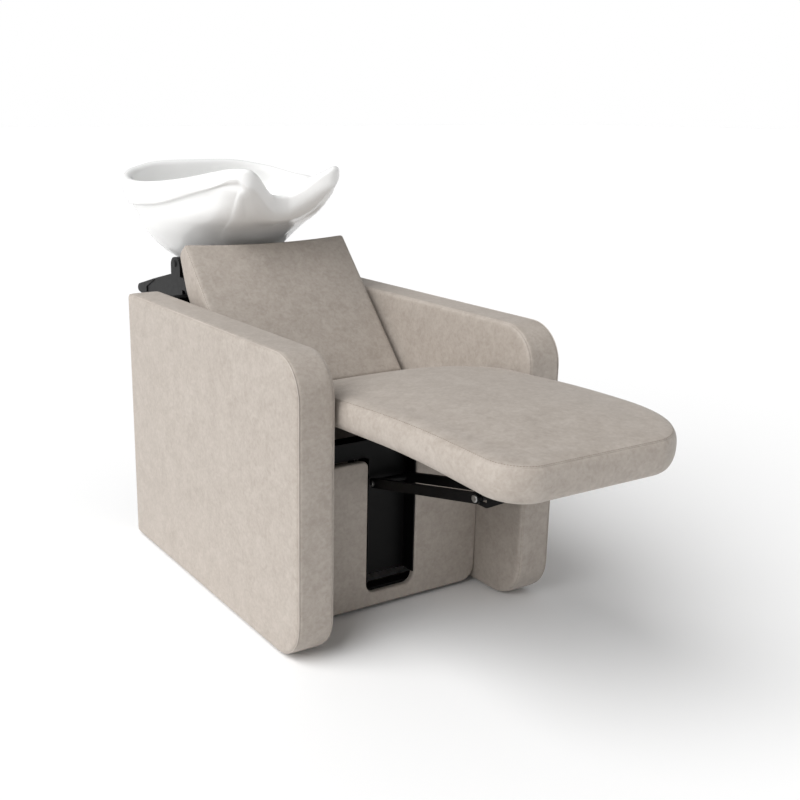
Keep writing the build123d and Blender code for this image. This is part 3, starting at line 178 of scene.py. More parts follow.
def leatherette():
    """Matt taupe leatherette: cloudy mottling, fine pale veins and a grain."""
    skin = Shader("taupe_leatherette", roughness=0.55, specular=0.35)
    clouds = skin.noise(scale=20.0, detail=3.0, roughness=0.6, distortion=0.4)
    streaks = skin.noise(scale=55.0, detail=4.0, roughness=0.62, distortion=0.8)
    flecks = skin.noise(scale=130.0, detail=3.0, roughness=0.6, distortion=0.4)
    coarse = skin.add(streaks, clouds, weight=0.6)
    mottling = skin.add(coarse, flecks, weight=0.8)
    tone = skin.ramp(
        skin.level(mottling, low=0.0, high=1.0, within=(0.85, 1.55)),
        (0.10, linear(TAUPE_DARK)),
        (0.50, linear(TAUPE)),
        (0.90, linear(TAUPE_LIGHT)),
    )
    skin.colour(tone)
    grain = skin.cells(scale=620.0)
    pores = skin.noise(scale=1500.0, detail=2.0)
    skin.bump(skin.add(grain, pores, weight=0.6), depth=0.10, strength=0.5)
    skin.rough(skin.level(streaks, low=0.46, high=0.62))
    skin.surface.inputs["Sheen Weight"].default_value = 0.08
    skin.surface.inputs["Sheen Roughness"].default_value = 0.6
    return skin.material


def plain(name, colour, roughness, texture=700.0, depth=0.02, specular=0.5):
    """An even finish with slight changes of tone and gloss and a fine relief."""
    shader = Shader(name, roughness, specular=specular)
    cloud = shader.noise(scale=14.0, detail=4.0)
    shader.colour(shader.ramp(cloud, (0.35, shaded(colour, 0.88)), (0.65, linear(colour))))
    gloss = shader.noise(scale=60.0)
    shader.rough(shader.level(gloss, low=roughness * 0.85, high=roughness * 1.15))
    shader.bump(shader.noise(scale=texture, detail=2.0), depth, strength=0.6)
    return shader.material


def glaze():
    """Fired white glaze: glossy, with the faintest waviness."""
    shader = Shader("glazed_ceramic", roughness=0.24, specular=0.5)
    tone = shader.noise(scale=6.0, detail=2.0)
    shader.colour(shader.ramp(tone, (0.3, shaded(GLAZE, 0.985)), (0.7, linear(GLAZE))))
    shader.rough(shader.level(shader.noise(scale=11.0), low=0.21, high=0.28))
    shader.bump(shader.noise(scale=16.0, detail=1.0), depth=0.08, strength=0.2)
    shader.surface.inputs["Coat Weight"].default_value = 0.2
    shader.surface.inputs["Coat Roughness"].default_value = 0.14
    return shader.material


def wood():
    """Birch plywood with long grain."""
    shader = Shader("birch_plywood", roughness=0.6)
    grain = shader.noise(scale=30.0, detail=5.0, distortion=1.2, stretch=(1.0, 12.0, 12.0))
    shader.colour(shader.ramp(grain, (0.3, shaded(BIRCH, 0.82)), (0.7, linear(BIRCH))))
    shader.bump(grain, depth=0.08, strength=0.5)
    return shader.material


def brushed(name, colour, roughness):
    """Bright metal with fine turned or drawn lines."""
    shader = Shader(name, roughness, metallic=1.0)
    lines = shader.noise(scale=240.0, detail=3.0, stretch=(8.0, 1.0, 1.0))
    shader.colour(shader.ramp(lines, (0.3, shaded(colour, 0.9)), (0.7, linear(colour))))
    shader.rough(shader.level(lines, low=roughness * 0.8, high=roughness * 1.3))
    shader.bump(lines, depth=0.01, strength=0.4)
    return shader.material


finishes = {
    "upholstery": leatherette(),
    "plywood": wood(),
    "back_board": plain("black_board", BLACK_STEEL, roughness=0.55),
    "glazed_ceramic": glaze(),
    "black_plastic": plain(
        "black_moulding", BLACK_MOULDING, roughness=0.48, texture=900.0, depth=0.03,
        specular=0.25,
    ),
    "grey_plastic": plain("grey_plastic", GREY_PLASTIC, roughness=0.45),
    "black_steel": plain(
        "black_powder_coat", BLACK_STEEL, roughness=0.5, texture=1200.0, specular=0.18
    ),
    "zinc_steel": brushed("zinc_plate", ZINC, roughness=0.3),
    "chrome": brushed("chrome", CHROME, roughness=0.12),
    "rubber": plain("rubber", RUBBER, roughness=0.7),
}
thread = plain("seam_thread", THREAD, roughness=0.75, texture=2500.0, depth=0.05)
# The sewn ridges' finish, lighter than the leatherette: a painted highlight
ridge_highlight = plain("seam_ridge_highlight", RIDGE_HIGHLIGHT, roughness=0.6, texture=2500.0, depth=0.05)

node_slots = {part["node"]: part["material_slot"] for part in frame["record"]["subparts"]}
for node_name, node in nodes.items():
    node.data.materials.clear()
    node.data.materials.append(finishes[node_slots[node_name]])
# The rods between the links are blackened, and only the screws left bright
for node_name in ("link_front_rod", "link_rear_rod", "link_spacers"):
    nodes[node_name].data.materials[0] = finishes["black_steel"]


def make_piece(name, points, faces, body, slot, material=None, stands_for=()):
    """A smooth mesh piece, from points in millimetres."""
    mesh = bpy.data.meshes.new(name)
    mesh.from_pydata([tuple(value * MM for value in point) for point in points], [], faces)
    mesh.validate()
    mesh.shade_smooth()
    piece = bpy.data.objects.new(name, mesh)
    scene.collection.objects.link(piece)
    mesh.materials.append(material or finishes[slot])
    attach(piece, body)
    if stands_for:
        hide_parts(*stands_for)
    return piece


def between_rings(first, second, count):
    """Faces between two closed rings of count points, from their first ones."""
    sides = [(index, (index + 1) % count) for index in range(count)]
    return [(first + a, first + b, second + b, second + a) for a, b in sides]


def outward(piece):
    """Turns all the faces of a closed piece outwards."""
    form = bmesh.new()
    form.from_mesh(piece.data)
    bmesh.ops.recalc_face_normals(form, faces=form.faces)
    form.to_mesh(piece.data)
    form.free()


LEAST_COUNTS = (2, 4, 2, 4, 2)


class PadOutline:
    """Outline of a pad, with as many points on both sides of its middle line.

    It runs from the middle of its rear end, round, and back to it. Each point
    has its direction outwards, so that rings further in have the same count.
    front_corner is the (along, across) reach of the front corner, and
    other_corner that of the one on the other side, where it differs.
    """

    def __init__(self, length, half, rear_radius, front_corner, step, other_corner=None):
        self.length = length
        self.half = half
        self.rear_radius = rear_radius
        self.round = min(rear_radius, *front_corner)
        runs = (
            half - rear_radius, rear_radius * pi / 2, length - rear_radius - front_corner[0],
            sum(front_corner) / 2 * pi / 2, half - front_corner[1],
        )
        self.counts = [max(least, round(run / step)) for least, run in zip(LEAST_COUNTS, runs)]
        mirrored = self.half_line(other_corner or front_corner)
        other = [((a, -b), (u, -v)) for (a, b), (u, v) in reversed(mirrored[1:-1])]
        self.samples = self.half_line(front_corner) + other
        self.count = len(self.samples)

    def half_line(self, corner):
        """Points from the middle of the rear end to the middle of the front."""
        length, half, rear = self.length, self.half, self.rear_radius
        counts = self.counts
        line = self.run((0, 0), (0, half - rear), (-1, 0), counts[0])
        line += self.arc((rear, half - rear), (rear, rear), 180, 90, counts[1])
        line += self.run((rear, half), (length - corner[0], half), (0, 1), counts[2])
        line += self.arc((length - corner[0], half - corner[1]), corner, 90, 0, counts[3])
        line += self.run((length, half - corner[1]), (length, 0), (1, 0), counts[4])
        line.append(((length, 0), (1, 0)))
        return line

    @staticmethod
    def run(start, end, out, count):
        """A straight run, its end left out."""
        found = []
        for index in range(count):
            along = start[0] + (end[0] - start[0]) * index / count
            across = start[1] + (end[1] - start[1]) * index / count
            found.append(((along, across), out))
        return found

    @staticmethod
    def arc(middle, reach, start, end, count):
        """A quarter of an ellipse, its end left out, between two angles."""
        found = []
        for index in range(count):
            angle = radians(start + (end - start) * index / count)
            place = (middle[0] + reach[0] * cos(angle), middle[1] + reach[1] * sin(angle))
            out = Vector((cos(angle) / reach[0], sin(angle) / reach[1])).normalized()
            found.append((place, (out.x, out.y)))
        return found

    def ring(self, inset):
        """Points of the outline moved in by inset, up to the middle line."""
        shallow = min(inset, self.round)
        share = max(0.0, inset - self.round) / (self.half - self.round)
        points = []
        for (a, b), (u, v) in self.samples:
            a, b = a - u * shallow, b - v * shallow
            middle = min(max(a, self.half), self.length - self.half)
            points.append((a + (middle - a) * share, b * (1 - share)))
        return points


def ringed_form(outline, profile, place):
    """Points and faces of a pad.

    profile gives (inset, depth) from the middle of its front to the middle of
    its back, and place puts (along, across, depth) into the bed.
    """
    points, faces = [], []
    count = outline.count
    for inset, depth in profile:
        for along, across in outline.ring(inset):
            points.append(place(along, across, depth))
    for ring in range(len(profile) - 1):
        faces += between_rings(ring * count, (ring + 1) * count, count)
    for base in (0, (len(profile) - 1) * count):
        last = base + count
        faces.append((base, base + 1, last - 1))
        for index in range(1, count // 2 - 1):
            faces.append((base + index, base + index + 1, last - index - 1, last - index))
        middle = base + count // 2
        faces.append((middle - 1, middle, middle + 1))
    return points, faces


def spaced(start, end, step):
    """Values from start to end, about step apart, end left out."""
    count = max(1, round(abs(end - start) / step))
    return [start + (end - start) * index / count for index in range(count)]


def upper_face(edge, half, step, crown, spread=1.0):
    """(inset, depth) of a pad's crowned face, from its middle to its edge."""
    first, level = edge[0]
    return [
        (inset, level - crown * (1 - ((half - inset) / (half - first)) ** 2))
        for inset in spaced(half - step / 2, first, step * spread)
    ]


UNDERSIDE_STEP = 24.0
UNDERSIDE_GAP = 4.0


def underside(first, half, depth):
    """(inset, depth) of a pad's flat rear face, from an inset to its middle."""
    return [(inset, depth) for inset in spaced(first, half - UNDERSIDE_GAP, UNDERSIDE_STEP)]


SEAM_GRIP = 2
SEAM_FADE = 4


def freedom(outline, profile, seam, fixed_from):
    """How freely each point may swell: not near the seam, nor underneath."""
    shares = []
    for number in range(len(profile)):
        share = min(1.0, max(0.0, (abs(number - seam) - SEAM_GRIP) / SEAM_FADE))
        shares.extend([0.0 if number >= fixed_from else share] * outline.count)
    return np.array(shares)


CLOTH_PRESSURE = 3.0
CLOTH_FRAMES = 16
SWELL = 5.0


def vertex_places(mesh):
    """Places of a mesh's points, a row each."""
    flat = np.empty(len(mesh.vertices) * 3, np.float64)
    mesh.vertices.foreach_get("co", flat)
    return flat.reshape(-1, 3)


def inflate(piece, free):
    """Lets air pressure swell a piece's free points, by at most SWELL."""
    mesh = piece.data
    before = vertex_places(mesh)
    held = piece.vertex_groups.new(name="held")
    for index, share in enumerate(free):
        held.add([index], float(1.0 - share), "REPLACE")
    cloth = piece.modifiers.new("Cloth", "CLOTH")
    settings = cloth.settings
    settings.quality = 6
    settings.mass = 0.3
    settings.tension_stiffness = 25
    settings.compression_stiffness = 25
    settings.shear_stiffness = 8
    settings.bending_stiffness = 1.0
    settings.use_pressure = True
    settings.uniform_pressure_force = CLOTH_PRESSURE
    settings.vertex_group_mass = "held"
    settings.effector_weights.gravity = 0
    settings.shrink_min = -0.006
    cloth.point_cache.frame_start = 1
    cloth.point_cache.frame_end = CLOTH_FRAMES
    for number in range(1, CLOTH_FRAMES + 1):
        scene.frame_set(number)
    solved = piece.evaluated_get(bpy.context.evaluated_depsgraph_get())
    after = vertex_places(solved.data)
    piece.modifiers.remove(cloth)
    piece.vertex_groups.remove(held)
    scene.frame_set(1)
    shift = after - before
    length = np.linalg.norm(shift, axis=1)
    most = SWELL * MM
    soft = most * np.tanh(length / most) / np.maximum(length, TINY)
    result = before + shift * (soft * free)[:, None]
    if np.isfinite(result).all():
        mesh.vertices.foreach_set("co", result.ravel())
        mesh.update()


def applied(piece, modifier):
    """A new mesh of a piece with its modifier applied, and then removed."""
    solved = piece.evaluated_get(bpy.context.evaluated_depsgraph_get())
    mesh = bpy.data.meshes.new_from_object(solved)
    piece.modifiers.remove(modifier)
    return mesh


def refine(piece):
    """Applies one level of a subdivision surface."""
    modifier = piece.modifiers.new("smooth", "SUBSURF")
    modifier.levels = 1
    modifier.render_levels = 1
    piece.data = applied(piece, modifier)
    piece.data.shade_smooth()


STITCH_PITCH = 5.2
STITCH_LENGTH = 3.4
STITCH_THICKNESS = 0.45
STITCH_SIDES = 6
# Rings of the pad between its seam and the stitches
STITCH_OFFSET = 2
# Place along a stitch, its thickness there and its rise, as shares
STITCH_RINGS = (
    (-0.5, 0.3, -0.5), (-0.32, 0.9, 0.15), (0.0, 1.0, 0.35), (0.32, 0.9, 0.15), (0.5, 0.3, -0.5)
)


def stitches(name, line, normals, body):
    """Short raised stitches along a closed line of points in millimetres."""
    points, faces = [], []
    path = [Vector(point) for point in line]
    path.append(path[0])
    ups = [Vector(up) for up in normals]
    ups.append(ups[0])
    distances = [0.0]
    for first, second in zip(path, path[1:]):
        distances.append(distances[-1] + (second - first).length)
    total = distances[-1]
    count = int(total / STITCH_PITCH)
    segment = 0
    for stitch in range(count):
        at = stitch * total / count
        while distances[segment + 1] < at:
            segment += 1
        share = (at - distances[segment]) / (distances[segment + 1] - distances[segment])
        spot = path[segment].lerp(path[segment + 1], share)
        up = ups[segment].lerp(ups[segment + 1], share).normalized()
        ahead = (path[segment + 1] - path[segment]).normalized()
        aside = ahead.cross(up).normalized()
        base = len(points)
        for place, size, lift in STITCH_RINGS:
            centre = spot + ahead * place * STITCH_LENGTH + up * lift * STITCH_THICKNESS
            for corner in range(STITCH_SIDES):
                angle = 2 * pi * corner / STITCH_SIDES
                points.append(
                    centre
                    + aside * cos(angle) * STITCH_THICKNESS * size
                    + up * sin(angle) * STITCH_THICKNESS * size
                )
        far_end = base + (len(STITCH_RINGS) - 1) * STITCH_SIDES
        for first in range(base, far_end, STITCH_SIDES):
            faces += between_rings(first, first + STITCH_SIDES, STITCH_SIDES)
        faces.append(tuple(range(base, base + STITCH_SIDES)))
        faces.append(tuple(reversed(range(far_end, far_end + STITCH_SIDES))))
    return make_piece(name, points, faces, body, "upholstery", thread)


def seam_line(piece, outline, ring):
    """Points of one ring of a pad, in millimetres, and its normals."""
    start = ring * outline.count
    ring_points = piece.data.vertices[start:start + outline.count]
    line = [point.co / MM for point in ring_points]
    return line, [point.normal.copy() for point in ring_points]


BEAD_SIDES = 6
BEAD_RADIUS = 1.35


def bead(name, line, normals, body):
    """A thin sewn ridge along a closed line of points in millimetres, coloured lighter as a
    painted highlight.
    """
    points, faces = [], []
    count = len(line)
    for index in range(count):
        ahead = (line[(index + 1) % count] - line[index - 1]).normalized()
        up = normals[index].normalized()
        aside = ahead.cross(up).normalized()
        for corner in range(BEAD_SIDES):
            angle = 2 * pi * corner / BEAD_SIDES
            offset = aside * cos(angle) + up * sin(angle)
            points.append(line[index] + offset * BEAD_RADIUS)
    for index in range(count):
        first, second = index * BEAD_SIDES, (index + 1) % count * BEAD_SIDES
        faces += between_rings(first, second, BEAD_SIDES)
    # The ridge takes the lighter finish, a painted highlight along the edge
    piece = make_piece(name, points, faces, body, "upholstery", ridge_highlight)
    outward(piece)
    refine(piece)
    return piece


# Camera at the photograph's place, in millimetres and degrees
EYE = (-1324.0, -2065.4, 1115.9)
AZIMUTH, ELEVATION, ROLL = -31.59, 15.33, 0.37
LENS, SENSOR = 48.50, 36.0
SHIFT = (0.0875, 0.0039)

turn, rise = radians(AZIMUTH), radians(ELEVATION)
back = Vector((sin(turn) * cos(rise), -cos(turn) * cos(rise), sin(rise)))
right = Vector((0, 0, 1)).cross(back).normalized()
above = back.cross(right)
roll = radians(ROLL)
right, above = right * cos(roll) + above * sin(roll), above * cos(roll) - right * sin(roll)
camera = bpy.data.objects.new("camera", bpy.data.cameras.new("camera"))
scene.collection.objects.link(camera)
camera.data.lens = LENS
camera.data.sensor_width = SENSOR
camera.data.shift_x, camera.data.shift_y = SHIFT
pose = Matrix((right, above, back)).transposed().to_4x4()
pose.translation = Vector(EYE) * MM
camera.matrix_world = pose
scene.camera = camera

# Arms: an upholstered slab each, sewn along the edges of both faces
ARM_REAR_ROUND = 12.0
ARM_FRONT_ROUND = 90.0
ARM_STEP = 14.0
# Rings round a pad's edge, as (inset, depth), here and for the pads below
ARM_EDGE = (
    (26.0, -0.4), (17.0, 0.0), (11.0, 0.4), (7.5, 1.0), (5.0, 2.1), (3.3, 3.6),
    (2.3, 5.2), (3.6, 6.2), (2.0, 7.2), (1.0, 8.8), (0.4, 11.5), (0.0, 16.0),
)
ARM_CROWN = 1.2
ARM_SPREAD = 1.6
# The ring of the edge that the sewn ridge follows
ARM_RIDGE = 6

for side, sign in (("right", -1), ("left", 1)):
    low, high = corners(f"arm_cover_{side}")
    length, half = high.y - low.y, (high.z - low.z) / 2
    front_corner = (ARM_FRONT_ROUND, ARM_FRONT_ROUND)
    outline = PadOutline(length, half, ARM_REAR_ROUND, front_corner, ARM_STEP)
    outer = high.x if sign > 0 else low.x
    middle = (low.z + high.z) / 2

    def on_arm(along, across, depth):
        return (outer - sign * depth, high.y - along, middle + across)

    thickness = high.x - low.x
    profile = upper_face(ARM_EDGE, half, ARM_STEP, ARM_CROWN, ARM_SPREAD) + list(ARM_EDGE)
    ridge_ring = len(profile) - len(ARM_EDGE) + ARM_RIDGE
    profile += [(inset, thickness - depth) for inset, depth in reversed(profile)]
    points, faces = ringed_form(outline, profile, on_arm)
    arm = make_piece(
        f"arm_{side}", points, faces, "base", "upholstery",
        stands_for=(f"arm_cover_{side}", f"arm_core_{side}"),
    )
    outward(arm)
    line, ups = seam_line(arm, outline, ridge_ring)
    bead(f"arm_{side}_ridge", line, ups, "base")
    refine(arm)

# Front panel with its open-topped notch, between the arms
PANEL_CORNER = 38.0
NOTCH_BOTTOM = 43.0
NOTCH_WIDTH = 131.0
NOTCH_CORNER = 24.0
NOTCH_LIP = 14.0
PANEL_TOP_CORNER = 10.0
PANEL_EDGE = 5.0
CORNER_DETAIL = 8
BEVEL_SEGMENTS = 4
BEVEL_ANGLE = 50.0
BAND_SHARE = 0.25


def rounded(corner_points):
    """Closed line with rounded corners, from (x, y, radius) corners."""
    found = []
    count = len(corner_points)
    for index, (x, y, radius) in enumerate(corner_points):
        here = Vector((x, y))
        before = Vector(corner_points[index - 1][:2])
        after = Vector(corner_points[(index + 1) % count][:2])
        to_before = (before - here).normalized()
        to_after = (after - here).normalized()
        half_angle = to_before.angle(to_after) / 2
        reach = radius / tan(half_angle)
        middle = here + (to_before + to_after).normalized() * radius / sin(half_angle)
        start = here + to_before * reach - middle
        end = here + to_after * reach - middle
        first = atan2(start.y, start.x)
        sweep = (atan2(end.y, end.x) - first + pi) % (2 * pi) - pi
        for number in range(CORNER_DETAIL + 1):
            turned = first + sweep * number / CORNER_DETAIL
            found.append(middle + Vector((cos(turned), sin(turned))) * radius)
    return found


def bevelled_plate(name, outline, place, depth, edge, body, slot, stands_for):
    """A plate with rounded edges, from an outline, with its depth backwards."""
    count = len(outline)
    points = [place(x, y, behind) for behind in (0.0, depth) for x, y in outline]
    faces = [tuple(range(count)), tuple(reversed(range(count, 2 * count)))]
    for index in range(count):
        after = (index + 1) % count
        faces.append((index, count + index, count + after, after))
    piece = make_piece(name, points, faces, body, slot, stands_for=stands_for)
    outward(piece)
    bevel = piece.modifiers.new("edge", "BEVEL")
    bevel.width = edge * MM
    bevel.segments = BEVEL_SEGMENTS
    bevel.limit_method = "ANGLE"
    bevel.angle_limit = radians(BEVEL_ANGLE)
    mesh = applied(piece, bevel)
    form = bmesh.new()
    form.from_mesh(mesh)
    # A narrow band along both broad faces, which keeps them flat when smoothed
    broad = sorted(form.faces, key=lambda face: -face.calc_area())[:2]
    bmesh.ops.inset_individual(form, faces=broad, thickness=edge * BAND_SHARE * MM)
    many_sided = [face for face in form.faces if len(face.verts) > 4]
    bmesh.ops.triangulate(form, faces=many_sided)
    form.to_mesh(mesh)
    form.free()
    piece.data = mesh
    mesh.shade_smooth()
    return piece


low, high = corners("front_panel_cover")
half = high.x
notch = NOTCH_WIDTH / 2
panel_outline = rounded(
    (
        (-half, low.z, PANEL_CORNER), (half, low.z, PANEL_CORNER),
        (half, high.z, PANEL_TOP_CORNER), (notch, high.z, NOTCH_LIP),
        (notch, NOTCH_BOTTOM, NOTCH_CORNER), (-notch, NOTCH_BOTTOM, NOTCH_CORNER),
        (-notch, high.z, NOTCH_LIP), (-half, high.z, PANEL_TOP_CORNER),
    )
)
panel = bevelled_plate(
    "front_panel", panel_outline, lambda x, z, depth: (x, low.y + depth, z),
    high.y - low.y, PANEL_EDGE, "base", "upholstery",
    ("front_panel_cover", "front_panel_board"),
)

# Seat and leg cushion: one pad on a bent route, sewn round its upper edge
SEAT_WIDTH = 474.0
SEAT_THICKNESS = 72.4
SEAT_NEAR_CORNER = (78.0, 72.0)
SEAT_FAR_CORNER = (195.0, 140.0)
SEAT_REAR_ROUND = 10.0
SEAT_ROUTE = ((104.5, 465.0), (-242.5, 566.5), (-556.5, 579.1), (-847.5, 565.1))
SEAT_BENDS = (600.0, 2500.0)
SEAT_CROWN = 10.0
SEAT_EDGE = (
    (52.0, -1.4), (40.0, -1.2), (30.0, -0.9), (22.0, -0.3), (15.0, 0.7), (9.5, 2.0),
    (6.0, 3.4), (3.8, 4.8), (5.2, 5.7), (3.2, 6.6), (1.4, 8.8), (-0.8, 13.0),
    (-2.6, 21.0), (-3.4, 32.0), (-3.0, 43.0), (-1.5, 52.5), (1.5, 61.5), (5.5, 68.0),
    (11.0, 71.6), (17.5, 72.8), (24.0, 72.7), (32.0, 72.4), (44.0, 72.4),
)
# How far the sides of the pad hang below its middle, along its route
SEAT_SAG = ((0.0, 11.0), (300.0, 10.0), (460.0, 8.0), (680.0, 5.0), (860.0, 1.0), (960.0, 0.0))
SAG_FADE = 30.0
SEAT_STEP = 9.0
# The ring of the edge that the seam follows, the one where it stops swelling,
# and where the underside starts
SEAT_SEAM = 8
SEAT_FREE = 18
SEAT_UNDERSIDE = 60.0
ROUTE_STEPS = 40


def bent_route(route, bends):
    """Straights and bends of a route as (start, end, directions at a bend)."""
    found = []
    points = [Vector(point) for point in route]
    start = points[0]
    for last, corner, following, bend in zip(points, points[1:], points[2:], bends):
        before, after = (corner - last).normalized(), (following - corner).normalized()
        reach = bend * tan(abs(before.angle_signed(after)) / 2)
        end, exit_point = corner - before * reach, corner + after * reach
        found += [(start, end, None), (end, exit_point, (before, after))]
        start = exit_point
    found.append((start, points[-1], None))
    return found


class Route:
    """The seat pad's side line, measured from its rear end."""

    def __init__(self, route, bends):
        self.stations = []
        travelled = 0.0
        last = None
        for start, end, turning in bent_route(route, bends):
            for step in range(ROUTE_STEPS + 1):
                share = step / ROUTE_STEPS
                if turning:
                    before, after = turning
                    control = start + before * ((end - start).length / 2)
                    spot = start * (1 - share) ** 2 + control * 2 * share * (1 - share)
                    spot = spot + end * share**2
                    ahead = before.lerp(after, share).normalized()
                else:
                    spot = start.lerp(end, share)
                    ahead = (end - start).normalized()
                if last is not None:
                    travelled += (spot - last).length
                last = spot
                self.stations.append((travelled, spot, Vector((ahead.y, -ahead.x))))
        self.length = travelled
        self.marks = [station[0] for station in self.stations]

    def at(self, distance):
        """The spot at a distance along the route, and the normal there."""
        distance = min(max(distance, 0.0), self.length)
        index = int(np.searchsorted(self.marks, distance))
        index = min(max(index, 1), len(self.marks) - 1)
        first, second = self.stations[index - 1], self.stations[index]
        gap = second[0] - first[0]
        share = (distance - first[0]) / gap if gap > TINY else 0.0
        spot = first[1].lerp(second[1], share)
        normal = first[2].lerp(second[2], share).normalized()
        return spot, (normal if normal.y > 0 else -normal)


seat_route = Route(SEAT_ROUTE, SEAT_BENDS)
seat_half = SEAT_WIDTH / 2


def on_seat(along, across, depth):
    """A point of the seat pad: depth is measured down from its upper face."""
    spot, normal = seat_route.at(along)
    beyond = max(along - seat_route.length, 0.0) - max(-along, 0.0)
    sag = np.interp(along, *zip(*SEAT_SAG)) * min(1.0, abs(across / seat_half)) ** 4
    depth += sag * min(1.0, max(0.0, (SEAT_THICKNESS - depth) / SAG_FADE))
    return (
        across,
        spot.x - normal.x * depth - normal.y * beyond,
        spot.y - normal.y * depth + normal.x * beyond,
    )


seat_outline = PadOutline(
    seat_route.length, seat_half, SEAT_REAR_ROUND, SEAT_FAR_CORNER, SEAT_STEP,
    other_corner=SEAT_NEAR_CORNER,
)
seat_top = upper_face(SEAT_EDGE, seat_half, SEAT_STEP, SEAT_CROWN)
seat_profile = seat_top + list(SEAT_EDGE)
seat_profile += underside(SEAT_UNDERSIDE, seat_half, SEAT_THICKNESS)
points, faces = ringed_form(seat_outline, seat_profile, on_seat)
seat_pad = make_piece(
    "seat_pad", points, faces, "chaise", "upholstery", stands_for=("seat_cushion",)
)
outward(seat_pad)
seat_seam = len(seat_top) + SEAT_SEAM
seat_free = freedom(seat_outline, seat_profile, seat_seam, len(seat_top) + SEAT_FREE)
inflate(seat_pad, seat_free)
line, ups = seam_line(seat_pad, seat_outline, seat_seam - STITCH_OFFSET)
stitches("seat_stitches", line, ups, "chaise")
refine(seat_pad)

# Moulded board that carries the seat pad, inside the pad's lower edge
BOARD_PROFILE = (
    (70.0, 60.0), (40.0, 60.0), (37.5, 60.6), (36.4, 62.0), (36.0, 64.0), (36.0, 69.0),
    (36.4, 71.2), (37.5, 72.6), (40.0, 73.0), (70.0, 73.0),
)
BOARD_REAR = 40.0
points, faces = ringed_form(
    seat_outline, BOARD_PROFILE,
    lambda along, across, depth: on_seat(max(along, BOARD_REAR), across, depth),
)
seat_base = make_piece(
    "seat_base", points, faces, "chaise", "back_board", stands_for=("seat_board",)
)
outward(seat_base)

# Backrest: a thick wedge-backed pad, sewn round its front face
BACK_SLOPE = 47.0
BACK_REAR_SLOPE = 72.5
BACK_WIDTH = 466.0
BACK_FOOT = (110.5, 471.0)
BACK_TOP_SETBACK = 403.5
BACK_DEPTH = 90.0
BACK_TOP_DEPTH = 45.0
BACK_DIP = 6.0
BACK_HORNS = 11.0
BACK_ROUND = 9.0
BACK_STEP = 9.0
BACK_CROWN = 9.0
BACK_EDGE = (
    (26.0, -2.6), (18.0, -2.2), (12.0, -1.5), (8.0, -0.5), (5.4, 0.8), (3.9, 2.2),
    (3.2, 3.4), (3.9, 4.2), (3.1, 5.0), (2.1, 6.4), (1.3, 9.0), (0.6, 14.0), (0.2, 22.0),
)
# Rings of the edge that the seam and the sewn ridge follow
BACK_SEAM = 7
BACK_RIDGE = 6
# Rings behind: inset, and depth as a share of the wedge's own, for which on_back
# takes what a depth has beyond BACK_DEPTH
BACK_REAR = (
    (0.0, 0.45), (0.0, 0.62), (0.3, 0.78), (1.6, 0.89), (4.5, 0.955), (9.0, 0.99),
    (16.0, 1.0), (30.0, 1.0),
)
# The rings of BACK_REAR that may swell, and where the rear face starts
BACK_FREE = 4
BACK_UNDERSIDE = 48.0
# How softly the wedge's slope passes into its full depth
BACK_BLEND = 12.0
BACK_BLEND_SHARE = 0.6
back_length = (BACK_TOP_SETBACK - BACK_FOOT[0]) / cos(radians(BACK_SLOPE))
back_half = back_length / 2
back_lean = radians(BACK_SLOPE)
back_outline = PadOutline(
    BACK_WIDTH, back_half, BACK_ROUND, (BACK_ROUND, BACK_ROUND), BACK_STEP
)


def back_depth(rise_along):
    """How thick the backrest is, that far up its face."""
    taper = tan(radians(BACK_REAR_SLOPE - BACK_SLOPE))
    wedge = BACK_TOP_DEPTH + (back_length - rise_along) * taper
    gap = (wedge - BACK_DEPTH) / BACK_BLEND
    soft = BACK_BLEND * np.log1p(np.exp(-abs(gap)))
    return min(wedge, BACK_DEPTH) - soft * BACK_BLEND_SHARE


def on_back(along, across, depth):
    """A point of the backrest, from the left of its foot, with depth behind it."""
    x = along - BACK_WIDTH / 2
    up = across + back_half
    dip = (BACK_DIP - BACK_HORNS * (2 * x / BACK_WIDTH) ** 2) * (up / back_length)
    if depth > BACK_DEPTH:
        depth = back_depth(up) * (depth - BACK_DEPTH) / BACK_DEPTH
    up -= dip
    return (
        x,
        BACK_FOOT[0] + up * cos(back_lean) + depth * sin(back_lean),
        BACK_FOOT[1] + up * sin(back_lean) - depth * cos(back_lean),
    )


back_top = upper_face(BACK_EDGE, back_half, BACK_STEP, BACK_CROWN)
back_profile = back_top + list(BACK_EDGE)
rear_start = len(back_profile)
back_profile += [(inset, BACK_DEPTH * (1 + share)) for inset, share in BACK_REAR]
back_profile += underside(BACK_UNDERSIDE, back_half, BACK_DEPTH * 2)
points, faces = ringed_form(back_outline, back_profile, on_back)
back_pad = make_piece(
    "back_pad", points, faces, "base", "upholstery", stands_for=("backrest_cushion",)
)
outward(back_pad)
back_seam = len(back_top) + BACK_SEAM
back_free = freedom(back_outline, back_profile, back_seam, rear_start + BACK_FREE)
inflate(back_pad, back_free)
line, ups = seam_line(back_pad, back_outline, back_seam - STITCH_OFFSET)
stitches("back_stitches", line, ups, "base")
line, ups = seam_line(back_pad, back_outline, len(back_top) + BACK_RIDGE)
bead("back_ridge", line, ups, "base")
refine(back_pad)

# Ceramic basin, as rings from the waste hole up its inside, over the rim and
# down its outside
BASIN_SETBACK = 255.5
BASIN_LENGTH = 592.0
BASIN_WIDTH = 530.0
BASIN_BOTTOM = 712.0
HORN_HEIGHT = 975.0
CREST_LOW = 930.0
BAND_LOW = 864.0
BAND_HIGH = 941.0
WASTE_Y = 625.5
WASTE_RADIUS = 29.0
WALL = 13.0
FLOOR = 14.0
RIM_BLEND = 7.0
RIM_OUTSET = 5.5
# Half of the outline from above, in shares of half the width and the length
OUTLINE = (
    (0.00, 0.000), (0.36, 0.000), (0.49, 0.020), (0.585, 0.090), (0.655, 0.200),
    (0.745, 0.340), (0.90, 0.510), (0.985, 0.630), (0.99, 0.740), (0.90, 0.880),
    (0.61, 0.975), (0.00, 1.000),
)
